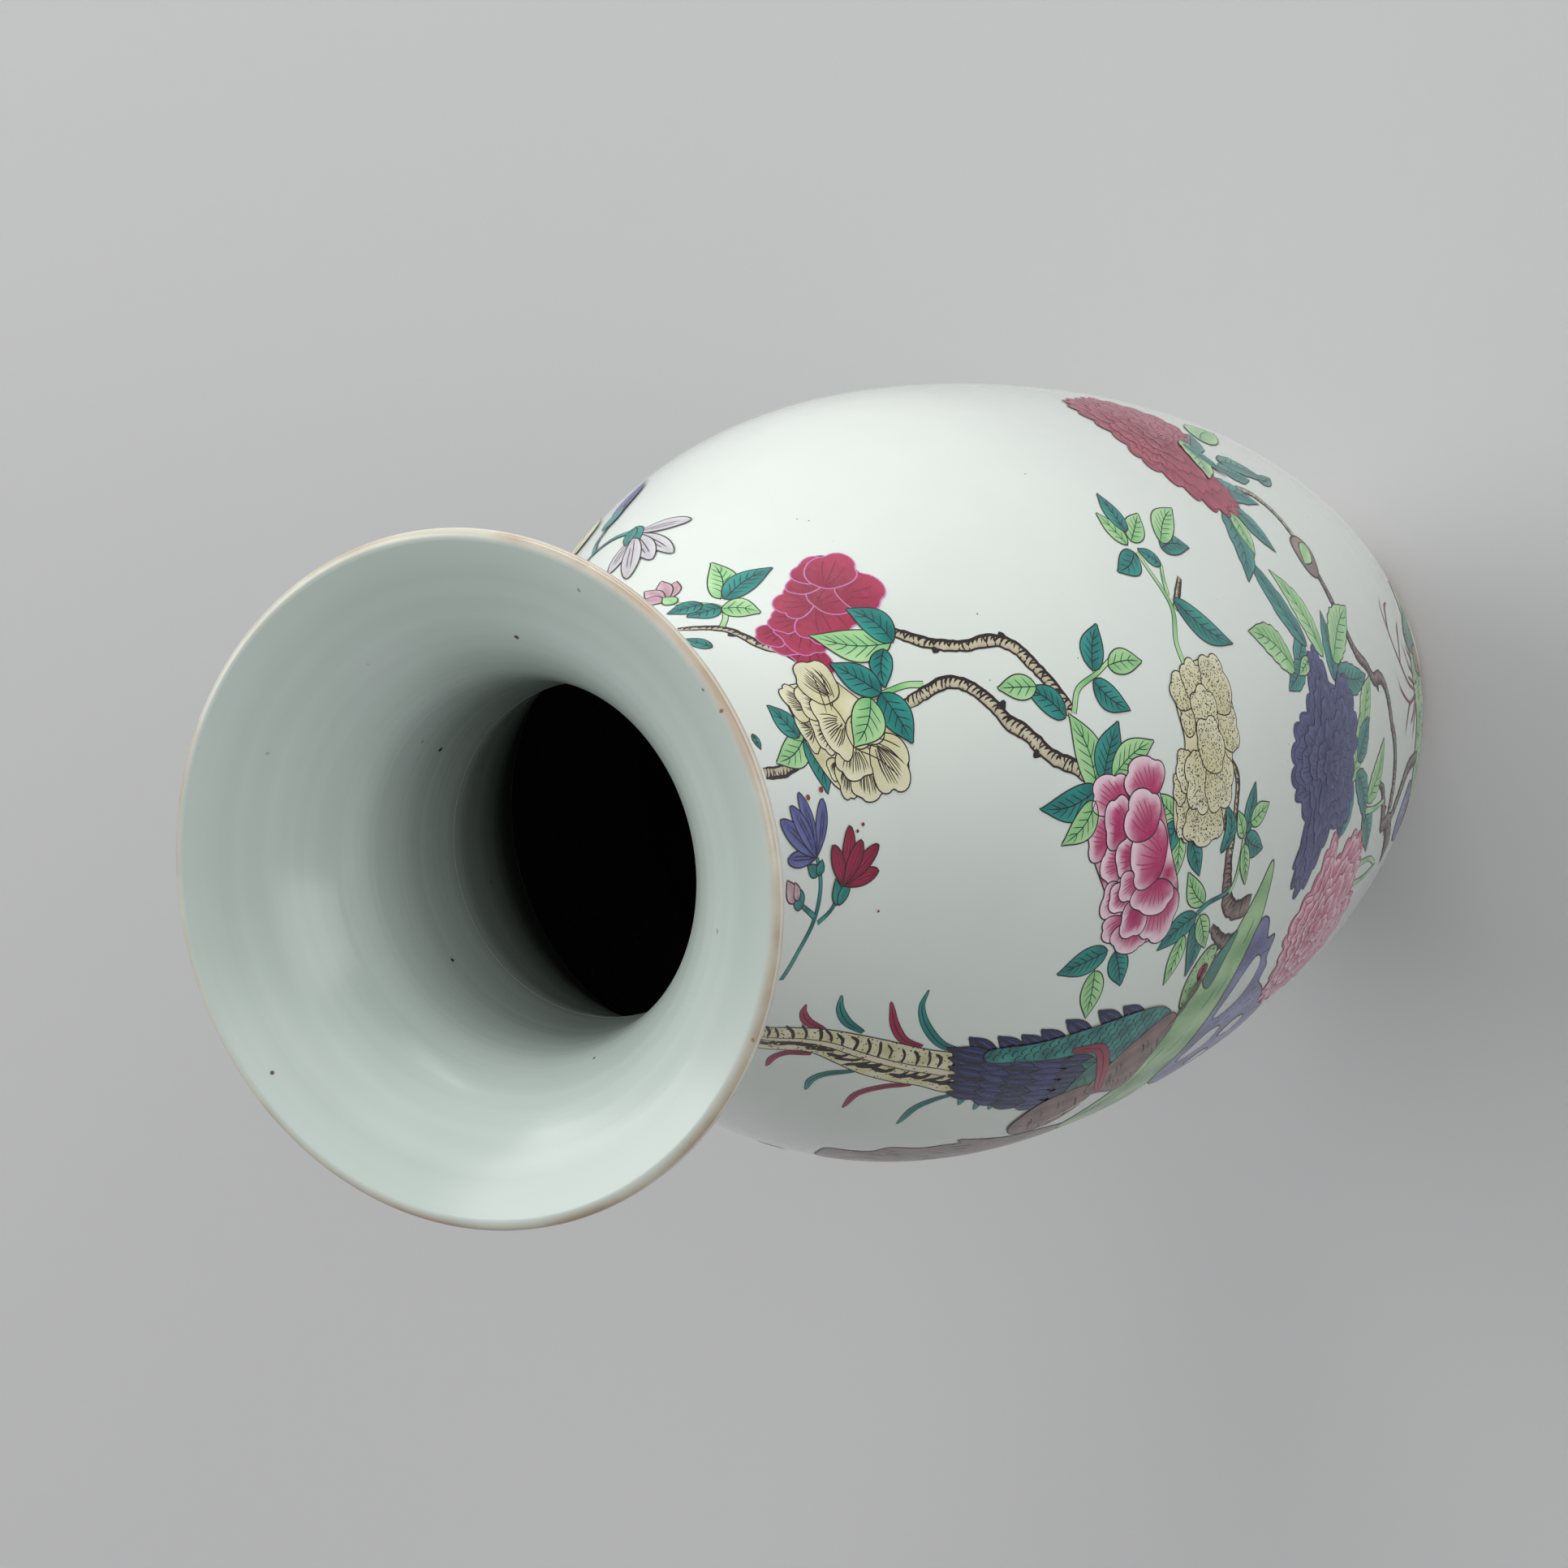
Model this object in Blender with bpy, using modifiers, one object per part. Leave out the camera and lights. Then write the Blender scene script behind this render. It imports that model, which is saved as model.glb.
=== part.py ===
"""Porcelain baluster vase, 450 mm tall, thrown in five sections that are luted with slip.

Frame: +Z runs up the axis of the vase and the origin is the centre of the foot ring's resting face.
The sections meet in flat luted joints: each section ends in a trimmed edge, its wall a little thicker
there, and a ring of slip of the same clay fills the seam and stands proud on the inside as a bead.
Sizes are in millimetres and are scaled to metres when a mesh is made.
"""
import math

import bpy
import numpy as np

MM = 0.001

# Flared mouth
THROAT_HEIGHT = 406.0       # narrowest place of the outline, where the flare begins
THROAT_RADIUS = 41.8
FLARE_HEIGHT = 446.4        # where the outside meets the rounding of the lip
FLARE_RADIUS = 69.9
FLARE_POWER = 3.2           # how late and how fast the mouth opens

# Outline of the body from the top of the foot ring to the throat, as (height, outer radius)
FOOT_TOP = (15.0, 49.0)
OUTLINE = (
    FOOT_TOP,
    (41.0, 60.0),
    (82.0, 76.0),
    (133.0, 87.0),
    (189.0, 92.8),
    (239.0, 93.8),
    (279.0, 89.5),
    (314.0, 76.5),
    (341.0, 61.5),
    (366.0, 48.0),
    (THROAT_HEIGHT, THROAT_RADIUS),
)

# Walls
BODY_WALL = 4.6
LIP_WALL = 3.8
JOINT_SWELL = 1.5           # extra thickness of the wall at a luted edge
JOINT_SWELL_REACH = 8.0

# Foot ring and base
FOOT_CHAMFER = 1.6
FOOT_INNER_RADIUS = 42.0
RECESS_DEPTH = 9.0
RECESS_FILLET = 3.0
FLOOR_HEIGHT = 16.0
FLOOR_FILLET = 8.0

# Heights of the luted seams
BASE_SEAM = 32.0
BELLY_SEAM = 224.0
SHOULDER_SEAM = 344.0
NECK_SEAM = 396.0
SEAMS = (BASE_SEAM, BELLY_SEAM, SHOULDER_SEAM, NECK_SEAM)

# Slip in the seams
SLIP_THICKNESS = 1.4
SLIP_BEAD = 1.3             # how far the bead of slip stands into the hollow
CLEARANCE = 0.3             # kept between neighbouring solids

TURN_STEPS = 48

# Colours and surface of the fired clay: base colour, roughness
GLAZED_PORCELAIN = ((0.80, 0.85, 0.81, 1.0), 0.08)
BISCUIT_SLIP = ((0.82, 0.79, 0.72, 1.0), 0.55)


def spline_through(points):
    """Cubic spline through (height, radius) points that is vertical at the first and the last one."""
    heights, radii = np.array(points).T
    count = len(heights)
    steps = np.diff(heights)
    slopes = np.diff(radii) / steps
    system = np.zeros((count, count))
    target = np.zeros(count)
    system[0, :2] = (2 * steps[0], steps[0])
    target[0] = 6 * slopes[0]
    for i in range(1, count - 1):
        system[i, i - 1] = steps[i - 1]
        system[i, i] = 2 * (steps[i - 1] + steps[i])
        system[i, i + 1] = steps[i]
        target[i] = 6 * (slopes[i] - slopes[i - 1])
    system[-1, -2:] = (steps[-1], 2 * steps[-1])
    target[-1] = -6 * slopes[-1]
    bends = np.linalg.solve(system, target)

    def radius_at(height):
        i = int(np.clip(np.searchsorted(heights, height) - 1, 0, count - 2))
        above = (heights[i + 1] - height) / steps[i]
        below = (height - heights[i]) / steps[i]
        chord = above * radii[i] + below * radii[i + 1]
        curve = (above**3 - above) * bends[i] + (below**3 - below) * bends[i + 1]
        return chord + curve * steps[i] ** 2 / 6

    return radius_at


BODY_RADIUS = spline_through(OUTLINE)


def outer_point(height):
    """Point of the outer surface, as (radius, height)."""
    if height <= THROAT_HEIGHT:
        return BODY_RADIUS(height), height
    rise = (height - THROAT_HEIGHT) / (FLARE_HEIGHT - THROAT_HEIGHT)
    return THROAT_RADIUS + (FLARE_RADIUS - THROAT_RADIUS) * rise**FLARE_POWER, height


def outer_slope(height, step=0.05):
    """Angle between the outer surface and the axis, positive where the radius grows upwards."""
    return math.atan((outer_point(height + step)[0] - outer_point(height - step)[0]) / (2 * step))


def wall_at(height):
    """Thickness of the wall across the surface."""
    towards_lip = max(0.0, (height - THROAT_HEIGHT) / (FLARE_HEIGHT - THROAT_HEIGHT))
    wall = BODY_WALL + (LIP_WALL - BODY_WALL) * towards_lip
    for seam in SEAMS:
        wall += JOINT_SWELL * math.exp(-(((height - seam) / JOINT_SWELL_REACH) ** 2))
    return wall


def inner_point(height):
    """Point of the inner surface that lies across the wall from the outer point at this height."""
    radius, _ = outer_point(height)
    slope = outer_slope(height)
    wall = wall_at(height)
    return radius - wall * math.cos(slope), height + wall * math.sin(slope)


def inner_radius(height):
    """Radius of the inner surface at a height, found by halving the range that holds it."""
    low = height - 3 * BODY_WALL
    high = height + 3 * BODY_WALL
    for _ in range(40):
        middle = (low + high) / 2
        if inner_point(middle)[1] < height:
            low = middle
        else:
            high = middle
    return inner_point(low)[0]


def arc(centre, radius, start, end, count):
    """Points of an arc in the (radius, height) plane; angles in degrees, 0 pointing outwards."""
    angles = np.radians(np.linspace(start, end, count))
    return [(centre[0] + radius * math.cos(a), centre[1] + radius * math.sin(a)) for a in angles]


def section_heights(low, high, spacing):
    """Evenly spaced heights from low to high, with one more near each luted edge."""
    heights = set(np.linspace(low, high, max(3, round((high - low) / spacing) + 1)))
    heights |= {low + JOINT_SWELL_REACH / 2, high - JOINT_SWELL_REACH / 2}
    return sorted(heights)


def thrown_section(low, high, spacing):
    """Closed profile of a wall section cut flat at both ends: down the outside, up the inside."""
    heights = section_heights(low, high, spacing)
    outside = [outer_point(height) for height in reversed(heights)]
    inside = [(inner_radius(height), height) for height in heights]
    return outside + inside


def base_profile(seam_edge):
    """Open profile of the base from the axis over the floor, up to the seam and down to the foot."""
    wall_bottom = FLOOR_HEIGHT + FLOOR_FILLET
    fillet_centre = (inner_radius(wall_bottom) - FLOOR_FILLET, wall_bottom)
    floor = [(0.0, FLOOR_HEIGHT)] + arc(fillet_centre, FLOOR_FILLET, -90, 0, 5)
    inside = [(inner_radius(seam_edge), seam_edge)]
    outside = [outer_point(height) for height in np.linspace(seam_edge, FOOT_TOP[0], 4)]
    foot_outside = [(FOOT_TOP[1], FOOT_CHAMFER), (FOOT_TOP[1] - FOOT_CHAMFER, 0.0)]
    foot_inside = [(FOOT_INNER_RADIUS + FOOT_CHAMFER / 2, 0.0), (FOOT_INNER_RADIUS, FOOT_CHAMFER)]
    recess_centre = (FOOT_INNER_RADIUS - RECESS_FILLET, RECESS_DEPTH - RECESS_FILLET)
    recess = arc(recess_centre, RECESS_FILLET, 0, 90, 4)
    underside = [(0.0, RECESS_DEPTH)]
    return floor + inside + outside + foot_outside + foot_inside + recess + underside


def mouth_profile(low, spacing):
    """Closed profile of the flared mouth: down the outside, up the inside and round the lip."""
    heights = np.linspace(low, FLARE_HEIGHT, round((FLARE_HEIGHT - low) / spacing) + 1)
    outside = [outer_point(height) for height in reversed(heights)]
    inside = [inner_point(height) for height in heights[1:]]
    slope = outer_slope(FLARE_HEIGHT)
    half_wall = wall_at(FLARE_HEIGHT) / 2
    lip_centre = (
        FLARE_RADIUS - half_wall * math.cos(slope),
        FLARE_HEIGHT + half_wall * math.sin(slope),
    )
    tilt = math.degrees(slope)
    lip = arc(lip_centre, half_wall, 180 - tilt, -tilt, 7)[1:-1]
    return outside + [(inner_radius(low), low)] + inside + lip


def slip_profile(seam):
    """Closed profile of the slip in a seam: flush outside, a half-round bead inside."""
    half = SLIP_THICKNESS / 2
    top = seam + half
    bottom = seam - half
    bead_root = min(inner_radius(top), inner_radius(bottom))
    turns = np.radians(np.linspace(25, 155, 4))
    bead = [(bead_root - SLIP_BEAD * math.sin(turn), seam - half * math.cos(turn)) for turn in turns]
    outside = [outer_point(top), outer_point(bottom)]
    return outside + [(inner_radius(bottom), bottom)] + bead + [(inner_radius(top), top)]


def clay_material(name, colour, roughness):
    material = bpy.data.materials.new(name)
    material.use_nodes = True
    shader = material.node_tree.nodes["Principled BSDF"]
    shader.inputs["Base Color"].default_value = colour
    shader.inputs["Roughness"].default_value = roughness
    shader.inputs["Metallic"].default_value = 0.0
    material.diffuse_color = colour
    return material


def turned_piece(name, profile, closed, material_values, collection, parent):
    """Piece turned from a profile by a Screw modifier."""
    points = [(radius * MM, 0.0, height * MM) for radius, height in profile]
    edges = [(i, i + 1) for i in range(len(points) - 1)]
    if closed:
        edges.append((len(points) - 1, 0))
    mesh = bpy.data.meshes.new(name)
    mesh.from_pydata(points, edges, [])
    mesh.materials.append(clay_material(name, *material_values))
    piece = bpy.data.objects.new(name, mesh)
    collection.objects.link(piece)
    piece.parent = parent
    turn = piece.modifiers.new("turned on the wheel", "SCREW")
    turn.axis = "Z"
    turn.steps = TURN_STEPS
    turn.render_steps = TURN_STEPS
    turn.use_merge_vertices = True
    turn.merge_threshold = 0.0001
    turn.use_smooth_shade = True
    return piece


def remove_scene_objects():
    for old in list(bpy.data.objects):
        bpy.data.objects.remove(old, do_unlink=True)


def build_vase():
    remove_scene_objects()
    vase = bpy.data.collections.new("porcelain_vase")
    bpy.context.scene.collection.children.link(vase)
    axis = bpy.data.objects.new("vase_axis", None)
    vase.objects.link(axis)

    edge = SLIP_THICKNESS / 2 + CLEARANCE
    sections = (
        ("base_with_foot_ring", base_profile(BASE_SEAM - edge), False),
        ("lower_body", thrown_section(BASE_SEAM + edge, BELLY_SEAM - edge, 19.0), True),
        ("upper_body", thrown_section(BELLY_SEAM + edge, SHOULDER_SEAM - edge, 15.0), True),
        ("neck", thrown_section(SHOULDER_SEAM + edge, NECK_SEAM - edge, 9.0), True),
        ("flared_mouth", mouth_profile(NECK_SEAM + edge, 5.5), True),
    )
    for name, profile, closed in sections:
        turned_piece(name, profile, closed, GLAZED_PORCELAIN, vase, axis)

    for name, seam in zip(("base_luting", "belly_luting", "shoulder_luting", "neck_luting"), SEAMS):
        turned_piece(name, slip_profile(seam), True, BISCUIT_SLIP, vase, axis)


build_vase()
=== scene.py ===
"""Famille rose porcelain vase: a fine turned glaze over the CAD sections, and the painting as thin enamel.

Places on the wall are (turn, reach): turn in degrees round the axis from +X, reach in millimetres up the
outer profile from the resting face. Lengths are in millimetres and become metres when a mesh is made.
"""

import math
import random

import bpy
import numpy as np
from mathutils import Matrix, Vector
from mathutils.geometry import delaunay_2d_cdt


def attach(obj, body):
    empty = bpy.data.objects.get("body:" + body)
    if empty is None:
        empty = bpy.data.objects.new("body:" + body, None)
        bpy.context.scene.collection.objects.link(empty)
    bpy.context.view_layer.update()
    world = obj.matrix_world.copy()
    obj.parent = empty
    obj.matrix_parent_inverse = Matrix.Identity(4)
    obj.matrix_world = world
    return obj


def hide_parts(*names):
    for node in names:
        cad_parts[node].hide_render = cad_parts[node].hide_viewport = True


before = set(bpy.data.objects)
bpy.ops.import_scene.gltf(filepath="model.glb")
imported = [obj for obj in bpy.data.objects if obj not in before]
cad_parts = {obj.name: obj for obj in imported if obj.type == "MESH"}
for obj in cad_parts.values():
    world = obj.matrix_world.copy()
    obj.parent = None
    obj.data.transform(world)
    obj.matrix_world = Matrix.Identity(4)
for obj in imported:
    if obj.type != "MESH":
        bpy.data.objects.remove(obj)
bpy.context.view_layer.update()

MM = 0.001

# Shape of the vase, the same as the CAD model's
THROAT_HEIGHT = 406.0
THROAT_RADIUS = 41.8
FLARE_HEIGHT = 446.4
FLARE_RADIUS = 69.9
FLARE_POWER = 3.2
FOOT_HEIGHT = 15.0
FOOT_RADIUS = 49.0
OUTLINE = (
    (FOOT_HEIGHT, FOOT_RADIUS),
    (41.0, 60.0),
    (82.0, 76.0),
    (133.0, 87.0),
    (189.0, 92.8),
    (239.0, 93.8),
    (279.0, 89.5),
    (314.0, 76.5),
    (341.0, 61.5),
    (366.0, 48.0),
    (THROAT_HEIGHT, THROAT_RADIUS),
)
BODY_WALL = 4.6
LIP_WALL = 3.8
JOINT_SWELL = 1.5
JOINT_SWELL_REACH = 8.0
FOOT_CHAMFER = 1.6
FOOT_INNER_RADIUS = 42.0
RECESS_DEPTH = 9.0
RECESS_FILLET = 3.0
FLOOR_HEIGHT = 16.0
FLOOR_FILLET = 8.0
SEAMS = {"base_luting": 32.0, "belly_luting": 224.0, "shoulder_luting": 344.0, "neck_luting": 396.0}
BEAD_RADIUS = 0.32
BEAD_SINK = 0.27            # how deep the bead's centre lies in the wall, so that it is nearly flush

# Fineness of the turned meshes
TURN_STEPS = 240
OUTSIDE_STEP = 2.5
INSIDE_STEP = 4.0
MOUTH_STEP = 0.9


def spline_through(points):
    """Cubic spline through (height, radius) points that is vertical at the first and the last one."""
    heights, radii = np.array(points).T
    count = len(heights)
    steps = np.diff(heights)
    slopes = np.diff(radii) / steps
    system = np.zeros((count, count))
    target = np.zeros(count)
    system[0, :2] = (2 * steps[0], steps[0])
    target[0] = 6 * slopes[0]
    for i in range(1, count - 1):
        system[i, i - 1] = steps[i - 1]
        system[i, i] = 2 * (steps[i - 1] + steps[i])
        system[i, i + 1] = steps[i]
        target[i] = 6 * (slopes[i] - slopes[i - 1])
    system[-1, -2:] = (steps[-1], 2 * steps[-1])
    target[-1] = -6 * slopes[-1]
    bends = np.linalg.solve(system, target)

    def radius_at(height):
        i = np.clip(np.searchsorted(heights, height) - 1, 0, count - 2)
        above = (heights[i + 1] - height) / steps[i]
        below = (height - heights[i]) / steps[i]
        chord = above * radii[i] + below * radii[i + 1]
        curve = (above**3 - above) * bends[i] + (below**3 - below) * bends[i + 1]
        return chord + curve * steps[i] ** 2 / 6

    return radius_at


BODY_RADIUS = spline_through(OUTLINE)


def outer_radius(height):
    """Radius of the outside at one height or at an array of heights."""
    height = np.asarray(height, float)
    rise = np.clip((height - THROAT_HEIGHT) / (FLARE_HEIGHT - THROAT_HEIGHT), 0, None)
    flare = THROAT_RADIUS + (FLARE_RADIUS - THROAT_RADIUS) * rise**FLARE_POWER
    body = BODY_RADIUS(np.clip(height, FOOT_HEIGHT, THROAT_HEIGHT))
    return np.where(height > THROAT_HEIGHT, flare, body)


def outer_slope(height, step=0.05):
    """Angle between the outside and the axis, positive where the radius grows upwards."""
    return np.arctan((outer_radius(height + step) - outer_radius(height - step)) / (2 * step))


def wall_at(height):
    towards_lip = np.clip((height - THROAT_HEIGHT) / (FLARE_HEIGHT - THROAT_HEIGHT), 0, None)
    wall = BODY_WALL + (LIP_WALL - BODY_WALL) * towards_lip
    for seam in SEAMS.values():
        wall = wall + JOINT_SWELL * np.exp(-(((height - seam) / JOINT_SWELL_REACH) ** 2))
    return wall


def run_along(across, up):
    """Length of a path up to each of its points."""
    return np.concatenate([[0], np.cumsum(np.hypot(np.diff(across), np.diff(up)))])


# Tables of the outside and the inside, from the foot up to the lip
TABLE_STEP = 0.1
TABLE_HEIGHT = np.arange(0.0, FLARE_HEIGHT + 0.01 * TABLE_STEP, TABLE_STEP)
TABLE_RADIUS = outer_radius(TABLE_HEIGHT)
TABLE_SLOPE = outer_slope(TABLE_HEIGHT)
TABLE_REACH = run_along(TABLE_HEIGHT, TABLE_RADIUS)
INNER_HEIGHT = TABLE_HEIGHT + wall_at(TABLE_HEIGHT) * np.sin(TABLE_SLOPE)
INNER_RADIUS = TABLE_RADIUS - wall_at(TABLE_HEIGHT) * np.cos(TABLE_SLOPE)


def inner_radius(height):
    return float(np.interp(height, INNER_HEIGHT, INNER_RADIUS))


def on_wall(turn, reach, lift):
    """Points in metres on the outside of the vase, lifted off it by so many millimetres."""
    height = np.interp(reach, TABLE_REACH, TABLE_HEIGHT)
    slope = np.interp(reach, TABLE_REACH, TABLE_SLOPE)
    radius = np.interp(reach, TABLE_REACH, TABLE_RADIUS) + lift * np.cos(slope)
    height = height - lift * np.sin(slope)
    angle = np.radians(turn)
    return np.stack([radius * np.cos(angle), radius * np.sin(angle), height], -1) * MM


def mm_per_degree(reach):
    return np.interp(reach, TABLE_REACH, TABLE_RADIUS) * math.pi / 180


# ---------------------------------------------------------------------------------------------
# Materials
# ---------------------------------------------------------------------------------------------

def screen(red, green, blue):
    """Linear colour of an 8-bit screen colour."""
    return tuple(((c / 255 + 0.055) / 1.055) ** 2.4 for c in (red, green, blue))


BLACK = (0.0, 0.0, 0.0)
WHITE = (1.0, 1.0, 1.0)
GLAZE_PALE = screen(228, 234, 228)
GLAZE_POOLED = screen(218, 227, 220)
INSIDE_PALE = screen(204, 213, 211)
INSIDE_GREY = screen(184, 198, 189)
WHEEL_RING = screen(205, 212, 206)
SLIP_PALE = screen(190, 200, 193)
SLIP_GREY = screen(170, 181, 173)
WORN_LIP = screen(186, 138, 90)
BARE_CLAY = screen(222, 208, 182)
IRON_SPOT = screen(112, 66, 44)
DEEP_SHADE = screen(104, 106, 100)
THIN_ENAMEL = (0.80, 0.80, 0.80)

# Painted shade inside the hollow: the glaze inside goes from grey to white between these heights, in metres
DEEP_HEIGHT = 0.35
LIT_HEIGHT = 0.432

COAT_ROUGHNESS = 0.04
NOISE_ROUGHNESS = 0.55

# Sockets of the Mix node that are for colours
MIX_FACTOR = 0
MIX_FIRST = 6
MIX_SECOND = 7
MIX_RESULT = 2


class Finish:
    """A Principled material whose nodes are added one by one."""

    def __init__(self, name, roughness, coat=0.0):
        self.material = bpy.data.materials.new(name)
        self.material.use_nodes = True
        self.tree = self.material.node_tree
        self.shader = self.tree.nodes["Principled BSDF"]
        self.shader.inputs["Roughness"].default_value = roughness
        self.shader.inputs["Coat Weight"].default_value = coat
        self.shader.inputs["Coat Roughness"].default_value = COAT_ROUGHNESS
        self.place = self.add("ShaderNodeTexCoord").outputs["Object"]

    def add(self, kind, **values):
        node = self.tree.nodes.new(kind)
        for key, value in values.items():
            setattr(node, key, value)
        return node

    def join(self, source, target):
        self.tree.links.new(source, target)

    def noise(self, scale, detail=3.0, stretch=None):
        """Noise over the object's own coordinates, stretched by a scale along each axis if one is given."""
        node = self.add("ShaderNodeTexNoise")
        node.inputs["Scale"].default_value = scale
        node.inputs["Detail"].default_value = detail
        node.inputs["Roughness"].default_value = NOISE_ROUGHNESS
        place = self.place
        if stretch:
            mapping = self.add("ShaderNodeMapping")
            mapping.inputs["Scale"].default_value = stretch
            self.join(place, mapping.inputs["Vector"])
            place = mapping.outputs["Vector"]
        self.join(place, node.inputs["Vector"])
        return node.outputs["Fac"]

    def cells(self, scale):
        """Distance to the nearest of many scattered points."""
        node = self.add("ShaderNodeTexVoronoi")
        node.inputs["Scale"].default_value = scale
        self.join(self.place, node.inputs["Vector"])
        return node.outputs["Distance"]

    def height(self):
        """Height above the resting face, in metres."""
        node = self.add("ShaderNodeSeparateXYZ")
        self.join(self.place, node.inputs["Vector"])
        return node.outputs["Z"]

    def attribute(self, name):
        return self.add("ShaderNodeAttribute", attribute_name=name).outputs["Color"]

    def ramp(self, source, *stops):
        """Colour ramp through (position, colour) stops."""
        node = self.add("ShaderNodeValToRGB")
        elements = node.color_ramp.elements
        while len(elements) < len(stops):
            elements.new(0.5)
        for element, (position, colour) in zip(elements, stops):
            element.position = position
            element.color = (*colour, 1.0)
        self.join(source, node.inputs["Fac"])
        return node.outputs["Color"]

    def mix(self, factor, first, second, blend="MIX"):
        """Mix of two colours; each value is a colour, a number or the output of another node."""
        node = self.add("ShaderNodeMix", data_type="RGBA", blend_type=blend)
        for index, value in ((MIX_FACTOR, factor), (MIX_FIRST, first), (MIX_SECOND, second)):
            socket = node.inputs[index]
            if isinstance(value, bpy.types.NodeSocket):
                self.join(value, socket)
            elif isinstance(value, float):
                socket.default_value = value
            else:
                socket.default_value = (*value, 1.0)
        return node.outputs[MIX_RESULT]

    def multiply(self, first, second):
        return self.mix(1.0, first, second, "MULTIPLY")

    def speckled(self, glaze, dot_scale, dot, patch_scale, patch):
        """Glaze with iron specks: fine dots, kept only in the few patches where a coarse noise is high."""
        dots = self.ramp(self.cells(dot_scale), (dot[0], IRON_SPOT), (dot[1], WHITE))
        patches = self.ramp(self.noise(patch_scale, 0.0), (patch[0], BLACK), (patch[1], WHITE))
        return self.mix(patches, glaze, self.multiply(glaze, dots))

    def worn(self, glaze):
        """Glaze that gives way to rusty bare clay where the attribute "wear" says so."""
        clay = self.ramp(self.noise(38.0, 6.0), (0.40, WORN_LIP), (0.58, BARE_CLAY))
        return self.mix(self.attribute("wear"), glaze, clay)

    def deep(self, glaze):
        """Painted shade: glaze darkened by height towards the unlit hollow below the neck."""
        return self.multiply(
            glaze, self.ramp(self.height(), (DEEP_HEIGHT, DEEP_SHADE), (LIT_HEIGHT, WHITE)),
        )

    def bump(self, source, strength, distance):
        """Fine relief; the distance is in metres."""
        node = self.add("ShaderNodeBump")
        node.inputs["Strength"].default_value = strength
        node.inputs["Distance"].default_value = distance
        self.join(source, node.inputs["Height"])
        self.join(node.outputs["Normal"], self.shader.inputs["Normal"])

    def rough(self, source, low, high):
        """Roughness that follows a source between two values."""
        node = self.add("ShaderNodeMapRange")
        node.inputs["To Min"].default_value = low
        node.inputs["To Max"].default_value = high
        self.join(source, node.inputs["Value"])
        self.join(node.outputs["Result"], self.shader.inputs["Roughness"])

    def colour(self, source):
        self.join(source, self.shader.inputs["Base Color"])


def glaze_finish():
    """Pale blue-green white glaze; the attribute "wear" paints the worn lip and the bare foot."""
    finish = Finish("porcelain_glaze", 0.1, coat=0.25)
    glaze = finish.ramp(finish.noise(9.0, 4.0), (0.32, GLAZE_POOLED), (0.68, GLAZE_PALE))
    specks = finish.speckled(glaze, 240.0, (0.035, 0.06), 70.0, (0.70, 0.72))
    finish.colour(finish.worn(specks))
    finish.rough(finish.noise(30.0), 0.06, 0.16)
    finish.bump(finish.noise(26.0, 2.0), 0.12, 0.002)
    return finish.material


def inside_finish():
    """The thin glaze inside: greyer, and with painted shade darkening it below the neck, with rings from the
    wheel and iron specks.
    """
    finish = Finish("porcelain_inside", 0.22)
    glaze = finish.ramp(finish.noise(7.0, 4.0), (0.3, INSIDE_GREY), (0.7, INSIDE_PALE))
    rings = finish.noise(6.0, 4.0, stretch=(0.2, 0.2, 26.0))
    ringed = finish.mix(0.35, glaze, finish.ramp(rings, (0.3, WHEEL_RING), (0.7, WHITE)), "MULTIPLY")
    specks = finish.speckled(ringed, 130.0, (0.055, 0.09), 61.0, (0.60, 0.63))
    # deep() paints shade: the glaze darkens by height towards the unlit hollow below the neck
    finish.colour(finish.worn(finish.deep(specks)))
    finish.rough(finish.noise(24.0), 0.14, 0.34)
    finish.bump(rings, 0.12, 0.002)
    return finish.material


def slip_finish():
    """Slip in the seams, under the thin glaze of the inside, with the same painted shade below the neck."""
    finish = Finish("luting_slip", 0.5)
    grain = finish.noise(160.0, 4.0)
    slip = finish.ramp(grain, (0.3, SLIP_GREY), (0.7, SLIP_PALE))
    # deep() paints shade: the slip darkens by height towards the unlit hollow below the neck
    finish.colour(finish.deep(slip))
    finish.bump(grain, 0.4, 0.0006)
    return finish.material


def enamel_finish():
    """Opaque enamel: the attribute "paint" gives its colour, a little uneven, on a slightly wavy gloss."""
    finish = Finish("overglaze_enamel", 0.22, coat=0.1)
    uneven = finish.ramp(finish.noise(150.0, 4.0), (0.25, THIN_ENAMEL), (0.75, WHITE))
    finish.colour(finish.multiply(finish.attribute("paint"), uneven))
    finish.rough(finish.noise(220.0), 0.16, 0.34)
    finish.bump(finish.noise(420.0, 3.0), 0.22, 0.0004)
    return finish.material


def ink_finish(name, colour):
    """Drawn line: one pigment, so the colour is plain, with a broken gloss and grain."""
    finish = Finish("line_" + name, 0.3)
    finish.shader.inputs["Base Color"].default_value = (*colour, 1.0)
    finish.rough(finish.noise(300.0), 0.22, 0.45)
    finish.bump(finish.noise(900.0), 0.2, 0.0003)
    return finish.material


# ---------------------------------------------------------------------------------------------
# Porcelain
# ---------------------------------------------------------------------------------------------

def spun(across, up):
    """Each (across, up) pair at every step round the axis, as a flat list of 3-D vectors."""
    turns = np.radians(np.arange(TURN_STEPS) * 360 / TURN_STEPS)
    circle = np.stack([np.cos(turns), np.sin(turns)], -1)
    vectors = np.zeros((len(across), TURN_STEPS, 3))
    vectors[..., :2] = across[:, None, None] * circle
    vectors[..., 2] = up[:, None]
    return vectors.reshape(-1, 3)


def spun_faces(count, closed):
    """Quads between neighbouring rows of a turned mesh; a closed one joins its last row to its first."""
    lower = np.arange(count if closed else count - 1)
    upper = (lower + 1) % count
    step = np.arange(TURN_STEPS)
    after = (step + 1) % TURN_STEPS
    here, there = lower[:, None] * TURN_STEPS, upper[:, None] * TURN_STEPS
    return np.stack([here + step, there + step, there + after, here + after], -1).reshape(-1, 4)


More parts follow.
